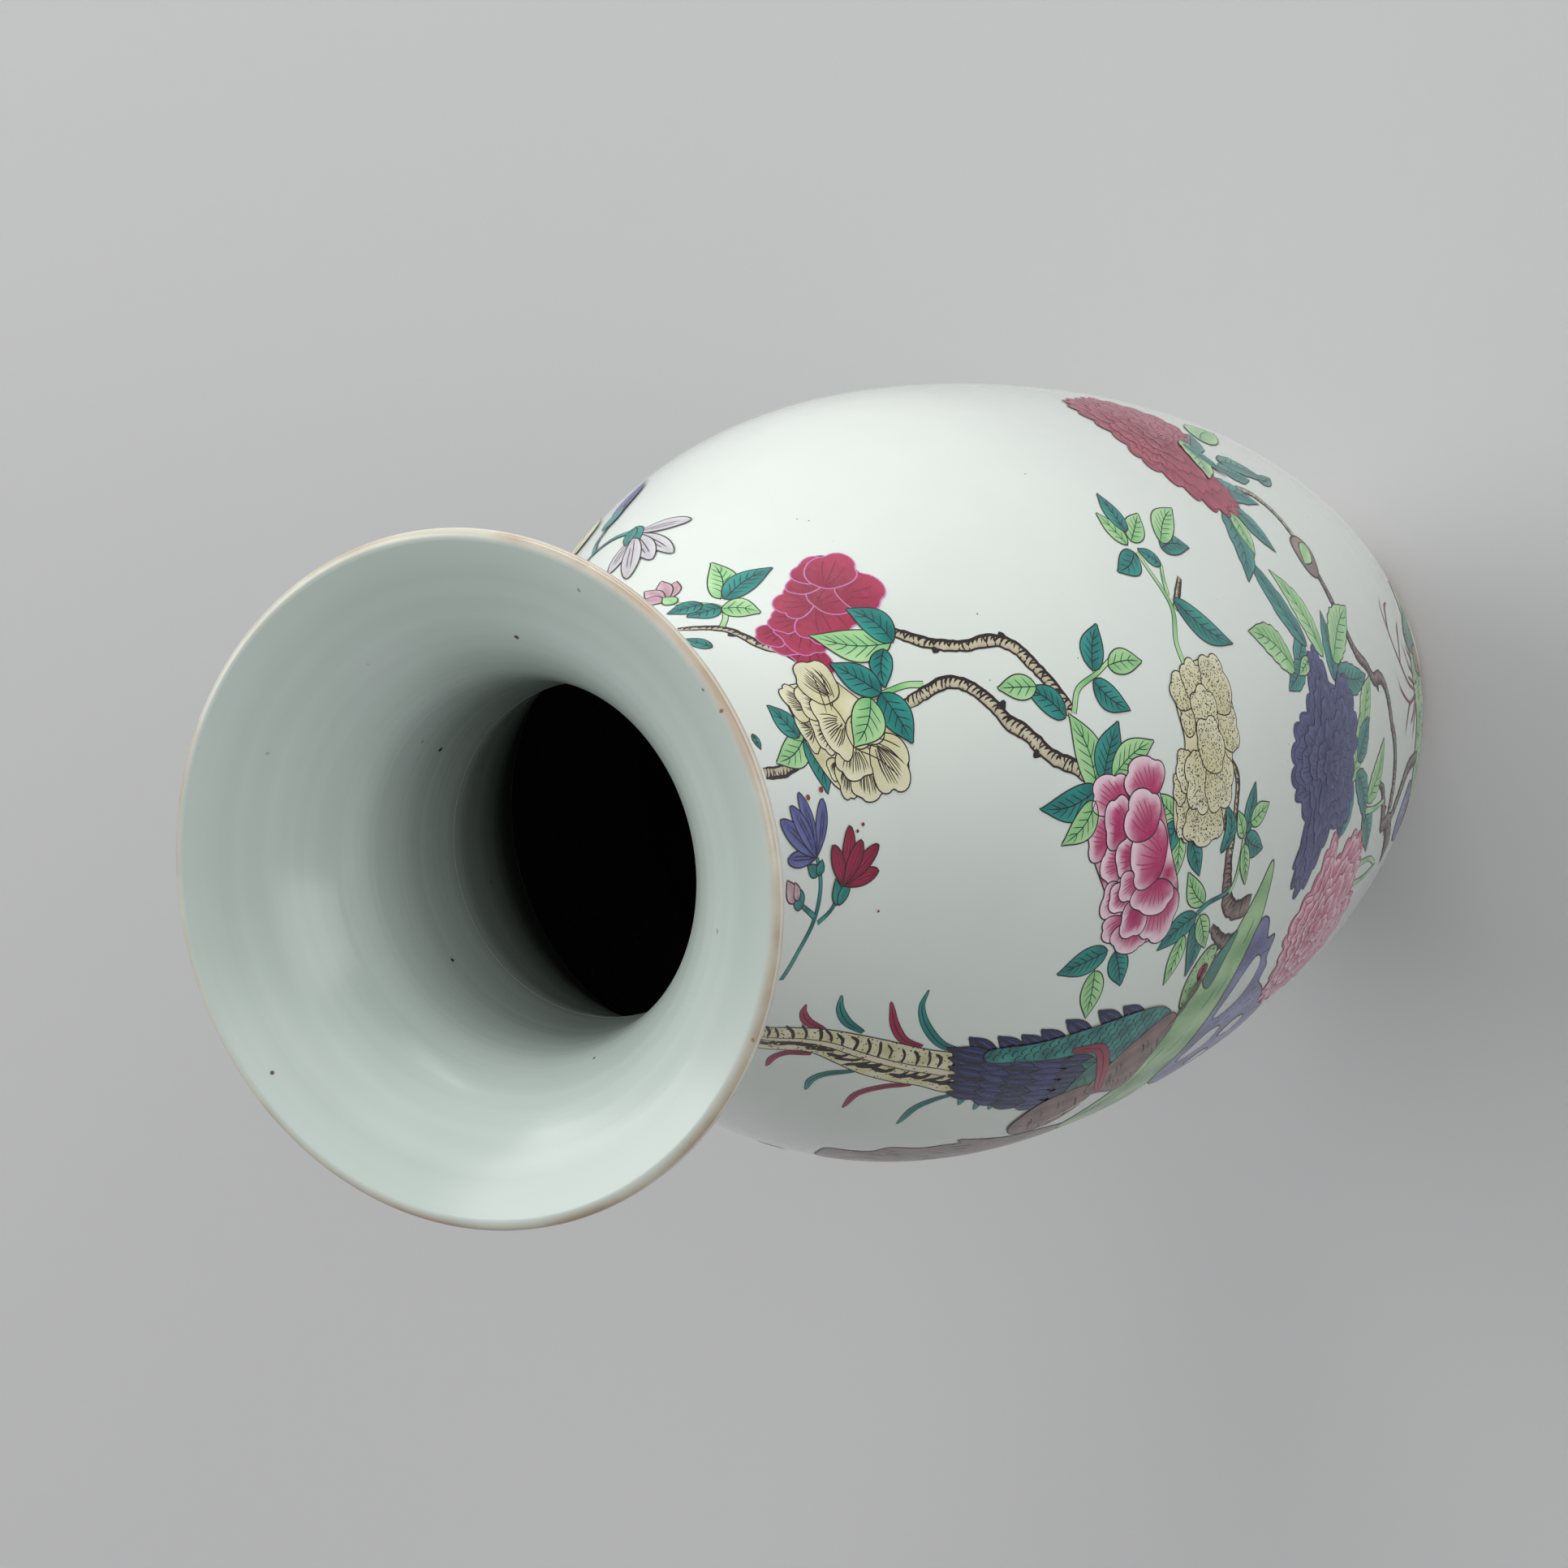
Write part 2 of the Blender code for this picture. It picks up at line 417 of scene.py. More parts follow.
def paint_points(mesh, name, colours):
    """Gives the points of a mesh a colour attribute from rows of red, green and blue."""
    values = np.ones((len(colours), 4))
    values[:, :3] = colours
    layer = mesh.color_attributes.new(name, "FLOAT_COLOR", "POINT")
    layer.data.foreach_set("color", values.ravel())


def turned(name, profile, material, node, wear=None, closed=False):
    """Turns rows of radius, height and the normal's two parts round the axis, with those normals."""
    radius, height, normal_across, normal_up = np.array(profile, float).T
    mesh = bpy.data.meshes.new(name)
    mesh.from_pydata((spun(radius, height) * MM).tolist(), [], spun_faces(len(profile), closed).tolist())
    mesh.validate()
    mesh.shade_smooth()
    mesh.normals_split_custom_set_from_vertices(spun(normal_across, normal_up).tolist())
    amount = np.zeros(len(profile)) if wear is None else np.array(wear, float)
    paint_points(mesh, "wear", np.repeat(amount, TURN_STEPS)[:, None])
    mesh.materials.append(material)
    piece = bpy.data.objects.new(name, mesh)
    bpy.context.scene.collection.objects.link(piece)
    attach(piece, "root")
    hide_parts(node)
    return piece


def even_heights(start, end, step):
    return np.linspace(start, end, max(2, round(abs(end - start) / step)) + 1)


def outside_rows(high, low, step):
    """Rows down the outside; each has its own normal, so that sections meet without a visible seam."""
    heights = even_heights(high, low, step)
    slopes = outer_slope(heights)
    return [(outer_radius(h), h, math.cos(a), -math.sin(a)) for h, a in zip(heights, slopes)]


def inside_rows(low, high, step):
    """Rows up the inside; the slope at each is taken over one millimetre."""
    rows = []
    for height in even_heights(low, high, step):
        slope = math.atan(inner_radius(height + 0.5) - inner_radius(height - 0.5))
        rows.append((inner_radius(height), height, -math.cos(slope), math.sin(slope)))
    return rows


def arc_rows(centre, radius, start, end, count, facing=1.0):
    """Rows along an arc; facing is -1 where the surface faces the arc's centre."""
    rows = []
    for angle in np.radians(np.linspace(start, end, count)):
        across, up = math.cos(angle), math.sin(angle)
        rows.append((centre[0] + radius * across, centre[1] + radius * up, facing * across, facing * up))
    return rows


# How bare the clay is: down the foot ring and up the inner half of the lip, from 0 to 1
FOOT_WEAR = (0.1, 0.7, 1.0, 1.0, 1.0, 1.0, 1.0, 0.6)
LIP_WEAR = (0.05, 0.15, 0.3, 0.45, 0.55, 0.62, 0.68)
UNDERSIDE_WEAR = 0.05
RIM_WEAR = 0.6
RIM_ROWS = 14
AXIS_GAP = 0.01             # radius of the tiny hole where a turned face meets the axis
EASE = 0.3                  # rounding beside the foot's resting face
DIAGONAL = math.sqrt(0.5)


def floor_rows():
    """The floor inside, from the axis outwards, and the first wall up to the seam."""
    wall_bottom = FLOOR_HEIGHT + FLOOR_FILLET
    fillet = (inner_radius(wall_bottom) - FLOOR_FILLET, wall_bottom)
    rows = inside_rows(wall_bottom, SEAMS["base_luting"], INSIDE_STEP)[::-1]
    rows += arc_rows(fillet, FLOOR_FILLET, 0, -90, 8, facing=-1.0)[1:]
    rows += [(20.0, FLOOR_HEIGHT, 0.0, 1.0), (AXIS_GAP, FLOOR_HEIGHT, 0.0, 1.0)]
    return rows[::-1]


def foot_rows():
    """Down the outside of the foot ring, across its resting face and up its inside."""
    outer, inner = FOOT_RADIUS - FOOT_CHAMFER, FOOT_INNER_RADIUS + FOOT_CHAMFER / 2
    return [
        (FOOT_RADIUS, FOOT_HEIGHT - 0.5, 1.0, 0.0),
        (FOOT_RADIUS, FOOT_CHAMFER, 1.0, 0.0),
        (FOOT_RADIUS - 0.1, FOOT_CHAMFER - 0.4, DIAGONAL, -DIAGONAL),
        (outer, 0.05, DIAGONAL, -DIAGONAL),
        (outer - EASE, 0.0, 0.0, -1.0),
        (inner + EASE, 0.0, 0.0, -1.0),
        (inner, 0.05, -DIAGONAL, -DIAGONAL),
        (FOOT_INNER_RADIUS, FOOT_CHAMFER, -1.0, 0.0),
    ]


def underside_rows():
    recess = (FOOT_INNER_RADIUS - RECESS_FILLET, RECESS_DEPTH - RECESS_FILLET)
    rows = arc_rows(recess, RECESS_FILLET, 0, 90, 6, facing=-1.0)
    return rows + [(18.0, RECESS_DEPTH, 0.0, -1.0), (AXIS_GAP, RECESS_DEPTH, 0.0, -1.0)]


def base(glaze, inside):
    wall, foot, under = outside_rows(
        SEAMS["base_luting"], FOOT_HEIGHT, OUTSIDE_STEP,
    ), foot_rows(), underside_rows()
    wear = [0.0] * len(wall) + [*FOOT_WEAR] + [UNDERSIDE_WEAR] * len(under)
    turned("base_with_foot_ring_glaze", wall + foot + under, glaze, "base_with_foot_ring", wear)
    turned("base_with_foot_ring_floor", floor_rows(), inside, "base_with_foot_ring")


def mouth_inside_rows():
    """Rows up the inside of the mouth, each across the wall from a row of the outside."""
    low = SEAMS["neck_luting"]
    opposite = np.arange(low, FLARE_HEIGHT + 0.01, MOUTH_STEP)
    heights = np.interp(opposite, TABLE_HEIGHT, INNER_HEIGHT)
    heights[0] = low
    slopes = outer_slope(opposite)
    return [(inner_radius(h), h, -math.cos(a), math.sin(a)) for h, a in zip(heights, slopes)]


def mouth(glaze, inside):
    """Both sides of the flared mouth; they meet on top of the rounded, slightly worn lip."""
    slope = float(outer_slope(FLARE_HEIGHT))
    tilt = math.degrees(slope)
    half = LIP_WALL / 2
    lip = (FLARE_RADIUS - half * math.cos(slope), FLARE_HEIGHT + half * math.sin(slope))
    rows = arc_rows(lip, half, 90 - tilt, -tilt, RIM_ROWS)
    rows += outside_rows(FLARE_HEIGHT, SEAMS["neck_luting"], MOUTH_STEP)[1:]
    shares = [min(1.0, (row + 2) / (RIM_ROWS - 1)) for row in range(RIM_ROWS)]
    wear = [RIM_WEAR * math.sin(math.pi * share) ** 2 for share in shares]
    turned("flared_mouth_glaze", rows, glaze, "flared_mouth", wear + [0.0] * (len(rows) - RIM_ROWS))
    rows = mouth_inside_rows()
    wear = [0.0] * len(rows) + [*LIP_WEAR]
    rows += arc_rows(lip, half, 180 - tilt, 90 - tilt, len(LIP_WEAR) + 1)[1:]
    turned("flared_mouth_inside", rows, inside, "flared_mouth", wear)


def porcelain():
    """The five thrown sections and the four slip rings inside, each standing for its CAD node."""
    glaze, inside, slip = glaze_finish(), inside_finish(), slip_finish()
    base(glaze, inside)
    seams = list(SEAMS.values())
    for name, low, high in zip(("lower_body", "upper_body", "neck"), seams, seams[1:]):
        turned(name + "_glaze", outside_rows(high, low, OUTSIDE_STEP), glaze, name)
        turned(name + "_inside", inside_rows(low, high, INSIDE_STEP), inside, name)
    mouth(glaze, inside)
    for name, seam in SEAMS.items():
        bead = arc_rows((inner_radius(seam) + BEAD_SINK, seam), BEAD_RADIUS, 90, 450, 17)[:-1]
        turned(name + "_bead", bead[::-1], slip, name, closed=True)


# ---------------------------------------------------------------------------------------------
# Enamel
# ---------------------------------------------------------------------------------------------

BASE_LIFT = 0.05           # how far the lowest enamel lies above the glaze
LAYER = 0.011              # from one layer of enamel to the next
LINE_ABOVE = 0.0055        # a line's height above the enamel that it is drawn on
FILL_STEP = 1.5            # at the widest place; finer where the wall is more curved
FINE_STEP = 1.2
WIDEST_DEGREE = 1.64       # one degree of turn at the widest place
INSIDE_ONLY = 1            # the triangulation keeps only what lies inside the outline
LINE_STEP = 1.0
FINE_LINE = 0.31
BOLD_LINE = 0.5
HATCH_SPACING = 0.95
THINNEST_LINE = 0.26
TINY = 1e-6
FULL_TURN = 2 * math.pi

INKS = {
    "dark": screen(46, 36, 38),
    "vein": screen(22, 66, 58),
    "rose": screen(176, 44, 96),
    "lilac": screen(196, 122, 178),
    "violet": screen(40, 44, 92),
    "white": screen(236, 232, 228),
    "rust": screen(134, 58, 44),
    "brown": screen(96, 72, 66),
    "dusky_line": screen(118, 16, 48),
    "cream_line": screen(222, 214, 186),
    "navy_line": screen(70, 84, 140),
}

# Each tone runs from a deeper to a paler colour
TONES = {
    "teal": (screen(10, 106, 106), screen(52, 158, 148)),
    "light": (screen(126, 200, 124), screen(186, 230, 170)),
    "deep": (screen(10, 86, 80), screen(40, 138, 120)),
    "crimson": (screen(142, 24, 60), screen(182, 56, 92)),
    "dusky": (screen(112, 18, 44), screen(166, 40, 74)),
    "cream": (screen(216, 210, 160), screen(238, 235, 202)),
    "rose": (screen(190, 28, 104), screen(252, 226, 238)),
    "pink": (screen(206, 88, 134), screen(240, 178, 196)),
    "deep rose": (screen(176, 26, 98), screen(226, 110, 164)),
    "blue": (screen(46, 52, 118), screen(112, 120, 182)),
    "night": (screen(34, 38, 86), screen(78, 86, 144)),
    "mauve": (screen(170, 116, 140), screen(226, 196, 202)),
    "magnolia": (screen(184, 176, 188), screen(222, 222, 224)),
    "beige": (screen(176, 164, 134), screen(214, 206, 178)),
    "bark": (screen(104, 84, 80), screen(150, 128, 118)),
    "earth": (screen(104, 76, 74), screen(146, 116, 108)),
    "moss": (screen(118, 178, 112), screen(176, 216, 158)),
    "glaze": (screen(214, 222, 215), screen(224, 231, 225)),
    "navy": (screen(22, 24, 52), screen(44, 54, 104)),
    "indigo": (screen(28, 32, 74), screen(62, 72, 134)),
    "slate": (screen(60, 66, 128), screen(120, 128, 186)),
}
TONES = {name: (np.array(first), np.array(second)) for name, (first, second) in TONES.items()}


class Motif:
    """One painted group. Later strokes lie on top of earlier ones; each ink becomes a piece of its own."""

    def __init__(self, name, level=0):
        self.name = name
        self.random = random.Random(name)
        self.lift = BASE_LIFT + LAYER * level
        self.sheets = {}

    def lay(self, ink, turn, reach, lift, faces, colours=None):
        """Adds points and faces to the sheet of an ink, or of the coloured enamel."""
        sheet = self.sheets.setdefault(ink, {"points": [], "faces": [], "colours": [], "count": 0})
        points = on_wall(turn, reach, lift)
        sheet["points"].append(points)
        sheet["faces"] += (np.asarray(faces) + sheet["count"]).tolist()
        sheet["count"] += len(points)
        if colours is not None:
            sheet["colours"].append(np.broadcast_to(colours, (len(points), 3)))

    def up(self):
        self.lift += LAYER


def flat_scale(reach):
    """What turns (turn, reach) near this reach into millimetres across and up."""
    return np.array((mm_per_degree(reach), 1.0))


def even_path(points, step, closed=False):
    """Smooth curve through (turn, reach) points, with its own points an even distance apart."""
    points = np.array(points, float)
    scale = flat_scale(points[:, 1].mean())
    flat = points * scale
    if closed:
        ends = np.concatenate([flat[-1:], flat, flat[:2]])
    else:
        ends = np.concatenate([2 * flat[:1] - flat[1:2], flat, 2 * flat[-1:] - flat[-2:-1]])
    parts = []
    for a, b, c, d in zip(ends, ends[1:], ends[2:], ends[3:]):
        t = (np.arange(8) / 8)[:, None]
        bend = (2 * a - 5 * b + 4 * c - d) * t * t + (3 * b - a - 3 * c + d) * t**3
        parts.append((2 * b + (c - a) * t + bend) / 2)
    parts.append(flat[:1] if closed else flat[-1:])
    curve = np.concatenate(parts)
    run = run_along(*curve.T)
    at = np.linspace(0, run[-1], max(3, round(run[-1] / step)) + 1)
    path = np.stack([np.interp(at, run, curve[:, 0]), np.interp(at, run, curve[:, 1])], -1)
    return (path[:-1] if closed else path) / scale


def offset(path, across, closed=False):
    """The path moved sideways, to its left, by so many millimetres at each point."""
    scale = mm_per_degree(path[:, 1])
    if closed:
        way = np.roll(path, -1, 0) - np.roll(path, 1, 0)
    else:
        way = np.gradient(path, axis=0)
    way = way * np.stack([scale, np.ones_like(scale)], -1)
    way /= np.maximum(np.hypot(*way.T), TINY)[:, None]
    return path + np.stack([-way[:, 1] * across / scale, way[:, 0] * across], -1)


def ribbon(motif, ink, path, half, lift, colours=None, closed=False):
    """Strip along a path, half as wide to each side as its width."""
    count = len(path)
    sides = np.concatenate([offset(path, half, closed), offset(path, -half, closed)])
    i = np.arange(count if closed else count - 1)
    j = (i + 1) % count
    faces = np.stack([i + count, j + count, j, i], -1)
    if colours is not None:
        colours = np.concatenate([colours, colours]) if np.ndim(colours) == 2 else colours
    motif.lay(ink, sides[:, 0], sides[:, 1], lift, faces, colours)


def line(motif, ink, points, width=FINE_LINE, thin=(0.35, 0.25), closed=False):
    """Brush line; thin gives how narrow it starts and ends, as shares of its width."""
    path = even_path(points, LINE_STEP, closed)
    half = np.full(len(path), width / 2)
    if not closed:
        t = np.linspace(0, 1, len(path))
        half *= np.clip(np.minimum(thin[0] + 5 * t, thin[1] + 5 * (1 - t)), 0, 1)
    ribbon(motif, ink, path, half, motif.lift + LINE_ABOVE, closed=closed)


def inside(flat, loop):
    """Which points lie inside a closed loop, and how far each is from its edge."""
    ahead = np.roll(loop, -1, 0)
    x, y = flat[:, 0:1], flat[:, 1:2]
    rises = (loop[:, 1] > y) != (ahead[:, 1] > y)
    run = ahead[:, 1] - loop[:, 1]
    run = np.where(np.abs(run) < 1e-9, 1e-9, run)
    crossing = loop[:, 0] + (y - loop[:, 1]) / run * (ahead[:, 0] - loop[:, 0])
    odd = (rises & (x < crossing)).sum(1) % 2 == 1
    return odd, nearest(flat, loop)


def nearest(points, loop):
    """How far each point is from the nearest point of a loop."""
    return np.hypot(points[:, 0:1] - loop[:, 0], points[:, 1:2] - loop[:, 1]).min(1)


def fill(motif, outline, tone, step=FILL_STEP):
    """Patch of enamel inside a (turn, reach) outline; tone(x, y, rim), all in mm, gives its colours."""
    outline = np.asarray(outline, float)
    middle = outline.mean(0)
    scale = flat_scale(middle[1])
    step *= math.sqrt(scale[0] / WIDEST_DEGREE)
    loop = (outline - middle) * scale
    low, high = loop.min(0), loop.max(0)
    columns = np.arange(low[0] + step / 2, high[0], step)
    rows = np.arange(low[1] + step / 2, high[1], step)
    grid = np.stack(np.meshgrid(columns, rows), -1).reshape(-1, 2)
    within, away = inside(grid, loop)
    grid = grid[within & (away > step * 0.5)]
    corners = [Vector(p) for p in np.concatenate([loop, grid])]
    corners, _, faces, *_ = delaunay_2d_cdt(corners, [], [list(range(len(loop)))], INSIDE_ONLY, TINY)
    points = np.array([corner[:] for corner in corners])
    colours = tone(points[:, 0], points[:, 1], nearest(points, loop))
    placed = points / scale + middle
    motif.lay("enamel", placed[:, 0], placed[:, 1], motif.lift, [list(face) for face in faces], colours)


def blend(first, second, amount):
    return first + (second - first) * np.clip(amount, 0, 1)[:, None]


def tint(name, amount):
    """Colours between the two ends of a tone."""
    return blend(*TONES[name], amount)


def flat_tone(name):
    """Colour between a tone's two ends, drifting over the patch."""
    return lambda x, y, rim: tint(name, 0.5 + 0.6 * np.sin(x * 0.7 + 1.3) * np.cos(y * 0.6))


def fan_tone(name, way, reach, edge=None, power=1.0):
    """Tone that runs from its first end to its second along a direction, with another edge if given."""

    def tone(x, y, rim):
        along = (x * way[0] + y * way[1]) / reach * 0.5 + 0.5
        colours = tint(name, np.clip(along, 0, 1) ** power)
        if edge is not None:
            colours = blend(colours, np.array(edge), (2.3 - rim) / 1.6 * np.clip(along * 2.2 - 0.4, 0, 1))
        return colours

    return tone


# --- leaves, stems and branches --------------------------------------------------------------

def blade_frame(base, tip):
    """For a shape from base to tip: mm per degree, start, whole length and sideways direction in mm."""
    scale = mm_per_degree((base[1] + tip[1]) / 2)
    start = np.array((base[0] * scale, base[1]))
    along = np.array((tip[0] * scale, tip[1])) - start
    side = np.array((-along[1], along[0]))
    return scale, start, along, side / np.hypot(*side)


def blade(motif, base, tip, width, tone, bend=0.0, teeth=0, blunt=0.8, point=0.55):
    """Pointed shape from base to tip. Returns a function that places (along 0..1, across -1..1) on it."""
    scale, start, along, side = blade_frame(base, tip)
    length = np.hypot(*along)

    def spread(t):
        t = np.clip(t, 0, 1)
        half = width / 2 * np.sin(math.pi * t**blunt) ** (0.7 + point * t)
        if teeth:
            half = half * (1 + 0.16 * ((t * teeth) % 1.0) * (t < 0.96))
        return half

    def place(t, across):
        t, across = np.broadcast_arrays(np.asarray(t, float), np.asarray(across, float))
        curve = bend * length * np.sin(math.pi * t) + across * spread(t)
        flat = start + t[..., None] * along + curve[..., None] * side
        return flat / np.array((scale, 1.0))

    count = max(7, round(length / (0.7 if teeth else 1.1)))
    t = np.linspace(0, 1, count + 1)
    loop = np.concatenate([place(t[:-1], 1.0), place(t[:0:-1], -1.0)])[::-1]
    centre = loop.mean(0) * (scale, 1.0)

    def colours(x, y, rim):
        spot = np.stack([x, y], -1) + centre - start
        t = spot @ along / length**2
        across = (spot @ side - bend * length * np.sin(math.pi * np.clip(t, 0, 1))) / (width / 2)
        return tint(tone, 0.25 + 0.55 * np.abs(across) + 0.3 * (across > 0) - 0.25 * (t < 0.2))

    motif.up()
    fill(motif, loop, colours)
    line(motif, "dark", loop, closed=True)
    return place


def leaf(motif, kind, base, tip, width, bend=0.0, teeth=0):
    """Leaf with its midrib and side veins."""
    place = blade(motif, base, tip, width, kind, bend, teeth, blunt=0.76, point=0.4)
    ink = "vein" if kind == "light" else "dark"
    line(motif, ink, place(np.linspace(-0.03, 0.88, 6), 0.0), 0.28)
    _, _, along, _ = blade_frame(base, tip)
    pairs = max(2, min(5, round(np.hypot(*along) / 3.2)))
    for k in range(pairs):
        root = 0.16 + 0.62 * k / pairs
        for side in (-1, 1):
            steps = np.array((0.0, 0.5, 1.0))
            line(motif, ink, place(root + steps * 0.17, side * steps * 0.74), 0.22, (1.0, 0.2))


def with_floor(motif, strokes, turns=4):
    """Lays strokes in a few layers, taken in turns, so that many of them don't pile up."""
    floor = motif.lift
    for k, stroke in enumerate(strokes):
        motif.lift = floor + LAYER * (k % turns)
        stroke()
    motif.lift = floor + LAYER * (turns + 1)


def leaves(motif, *rows):
    """Leaves from rows of kind, base turn and reach, tip turn and reach, width and, if wanted, bend, teeth."""
    with_floor(motif, [lambda row=row: leaf(motif, row[0], row[1:3], row[3:5], *row[5:]) for row in rows])


def outlined_ribbon(motif, path, half, border, colours):
    """Coloured strip with a dark one under it that shows as a border."""
    motif.up()
    ribbon(motif, "dark", path, half + border, motif.lift)
    motif.up()
    ribbon(motif, "enamel", path, half, motif.lift, colours)


def stem(motif, kind, points, width=1.1):
    """Thin green stem that narrows towards its end."""
    path = even_path(points, LINE_STEP)
    t = np.linspace(0, 1, len(path))
    half = width / 2 * (1 - 0.35 * t)
    outlined_ribbon(motif, path, half, 0.2, tint(kind, 0.5 + 0.5 * np.sin(t * 9)))


def hatch(motif, path, left, right):
    """Short curved strokes across a branch from its right edge, and a few from its left one."""
    draw = motif.random
    last = len(path) - 1
    length = len(path) * FINE_STEP
    for k in range(int(length / HATCH_SPACING)):
        spot = (k + draw.uniform(0.2, 0.8)) * HATCH_SPACING / length * last
        depth = draw.uniform(0.45, 0.95)
        i, j = int(spot), int(min(last, spot + 0.7))
        start = right[i]
        end = right[j] + (left[j] - right[j]) * depth
        middle = (start + end) / 2 + (path[min(i + 1, last)] - path[i]) * 0.25
        line(motif, "dark", (start, middle, end), draw.uniform(0.36, 0.62), (1.0, 0.15))
        if draw.random() < 0.35:
            line(motif, "dark", (left[i], left[i] + (right[j] - left[j]) * 0.3), 0.36, (1.0, 0.2))


def branch(motif, points, start_width, end_width, kind="beige", thorns=()):
    """Woody branch: knotty edges, hatching, and thorns given as a share of its length and a side."""
    motif.up()
    path = even_path(points, FINE_STEP)
    t = np.linspace(0, 1, len(path))
    wobble = np.array([motif.random.uniform(-0.14, 0.18) for _ in path])
    half = (start_width + (end_width - start_width) * t) / 2 * (1 + wobble)
    left, right = offset(path, half), offset(path, -half)
    loop = np.concatenate([right, left[::-1]])

    def bark(x, y, rim):
        return tint(kind, rim / 1.1 + 0.2 * np.sin(x * 1.7 + y))

    fill(motif, loop, bark, FINE_STEP)
    line(motif, "dark", left, BOLD_LINE)
    line(motif, "dark", offset(path, -half * 0.9), 0.8)
    hatch(motif, path, left, right)
    for share, side in thorns:
        i = int(share * (len(path) - 1))
        edge = left if side > 0 else right
        out = edge[i] + (edge[i] - path[i]) * 0.9
        line(motif, "dark", (edge[max(0, i - 1)], out, edge[i]), 0.7, (0.8, 0.8))
        line(motif, "dark", (path[i] * 0.4 + edge[i] * 0.6, out), 1.1, (1.0, 0.4))


# --- flowers ---------------------------------------------------------------------------------

PETAL_FILL = 0.56          # half of a petal's box that the petal takes, with a little overlap
PETAL_SQUARENESS = 2.4     # power of the superellipse under the scallops; 2 is an ellipse


def petal_shape(angles, facing, wide, tall, lobes, phase):
    """Rounded shape in mm about its own centre, with scallops on the side that faces outwards."""
    across, up = np.cos(angles), np.sin(angles)
    outward = np.cos(angles - facing)
    scallop = np.abs(np.cos((angles - facing) * lobes / 2 + phase)) ** 0.6
    size = 0.86 + 0.24 * scallop * np.clip(outward + 0.6, 0, 1) - 0.16 * np.clip(-outward, 0, 1) ** 2
    corner = np.abs(across) ** PETAL_SQUARENESS + np.abs(up) ** PETAL_SQUARENESS
    size = corner ** (-1 / PETAL_SQUARENESS) * size
    return np.stack([across * wide, up * tall], -1) * size[:, None]


def petal(motif, box, heart, tone, lobes=4, streak="rose", streaks=5, edge=None, rim="dark", power=1.0):
    """Scalloped petal that fills a box of turn and reach and opens away from the flower's heart."""
    low_turn, high_turn, low_reach, high_reach = box
    centre = np.array(((low_turn + high_turn) / 2, (low_reach + high_reach) / 2))
    scale = flat_scale(centre[1])
    wide = (high_turn - low_turn) * PETAL_FILL * scale[0]
    tall = (high_reach - low_reach) * PETAL_FILL
    away = (centre - np.array(heart)) * scale
    way = away / max(np.hypot(*away), 0.01)
    facing = math.atan2(way[1], way[0])
    angles = np.arange(0, FULL_TURN, FULL_TURN / max(20, round((wide + tall) * 3.6)))
    draw = motif.random
    loop = centre + petal_shape(angles, facing, wide, tall, lobes, draw.uniform(-0.5, 0.5)) / scale
    span = np.hypot(wide * way[0], tall * way[1])
    motif.up()
    fill(motif, loop, fan_tone(tone, way, span, edge, power))
    line(motif, rim, loop, closed=True)
    root = centre - way * span * 0.86 / scale
    for k in range(streaks):
        share = (k + 0.5) / streaks - 0.5
        angle = facing + share * 2.1 + draw.uniform(-0.06, 0.06)
        tip = np.array((math.cos(angle) * wide, math.sin(angle) * tall)) * draw.uniform(0.62, 0.84)
        end = centre + tip / scale
        begin = root + (end - root) * draw.uniform(0.2, 0.42)
        sag = np.array((-(end - begin)[1], (end - begin)[0] * scale[0])) / scale * share * 0.16
        line(motif, streak, (begin, (begin + end) / 2 + sag, end), THINNEST_LINE, (0.9, 0.2))
    return loop


def petals(motif, heart, boxes, tone, **style):
    """Petals of one flower, the back ones first."""
    for box in boxes:
        petal(motif, box, heart, tone, **style)


def backing(motif, tone, outline):
    """Plain enamel under a flower's petals, so that no glaze shows between them."""
    motif.up()
    loop = even_path(outline, 1.4, closed=True)
    fill(motif, loop, flat_tone(tone))
    line(motif, "dark", loop, closed=True)


def rippled(outline, heart):
    """Outline of a flower head with small scallops all round."""
    loop = even_path(outline, 0.8, closed=True)
    lobes = round(len(loop) / 8)
    ripple = np.abs(np.sin(np.arange(len(loop)) * math.pi * lobes / len(loop))) ** 0.7
    return heart + (loop - heart) * (0.93 + 0.11 * ripple)[:, None]


class Head:
    """A flower head: its places are a bearing from the heart and a share of the way to its outline."""

    def __init__(self, loop, heart):
        self.heart = heart
        self.scale = flat_scale(heart[1])
        flat = (loop - heart) * self.scale
        bearings = np.arctan2(flat[:, 1], flat[:, 0])
        order = np.argsort(bearings)
        self.bearings = bearings[order]
        self.radii = np.hypot(flat[order, 0], flat[order, 1])

    def radius(self, bearing):
        return np.interp(bearing, self.bearings, self.radii, period=FULL_TURN)

    def place(self, bearing, share):
        bearing = np.asarray(bearing, float)
        reach = self.radius((bearing + math.pi) % FULL_TURN - math.pi) * share
        return self.heart + np.stack([np.cos(bearing) * reach, np.sin(bearing) * reach], -1) / self.scale

    def radial_tone(self, name, share_in, share_out, loop, edge):
        """Tone of a petal, deep at its root and pale at its tip, with another edge if given."""
        centre = (loop.mean(0) - self.heart) * self.scale

        def tone(x, y, rim):
            x, y = x + centre[0], y + centre[1]
            share = np.hypot(x, y) / self.radius(np.arctan2(y, x))
            rise = np.clip((share - share_in) / (share_out - share_in), 0, 1)
            colours = tint(name, rise**1.3)
            if edge is not None:
                colours = blend(colours, np.array(edge), (1.6 - rim) * np.clip(rise * 2 - 0.8, 0, 1))
            return colours

        return tone


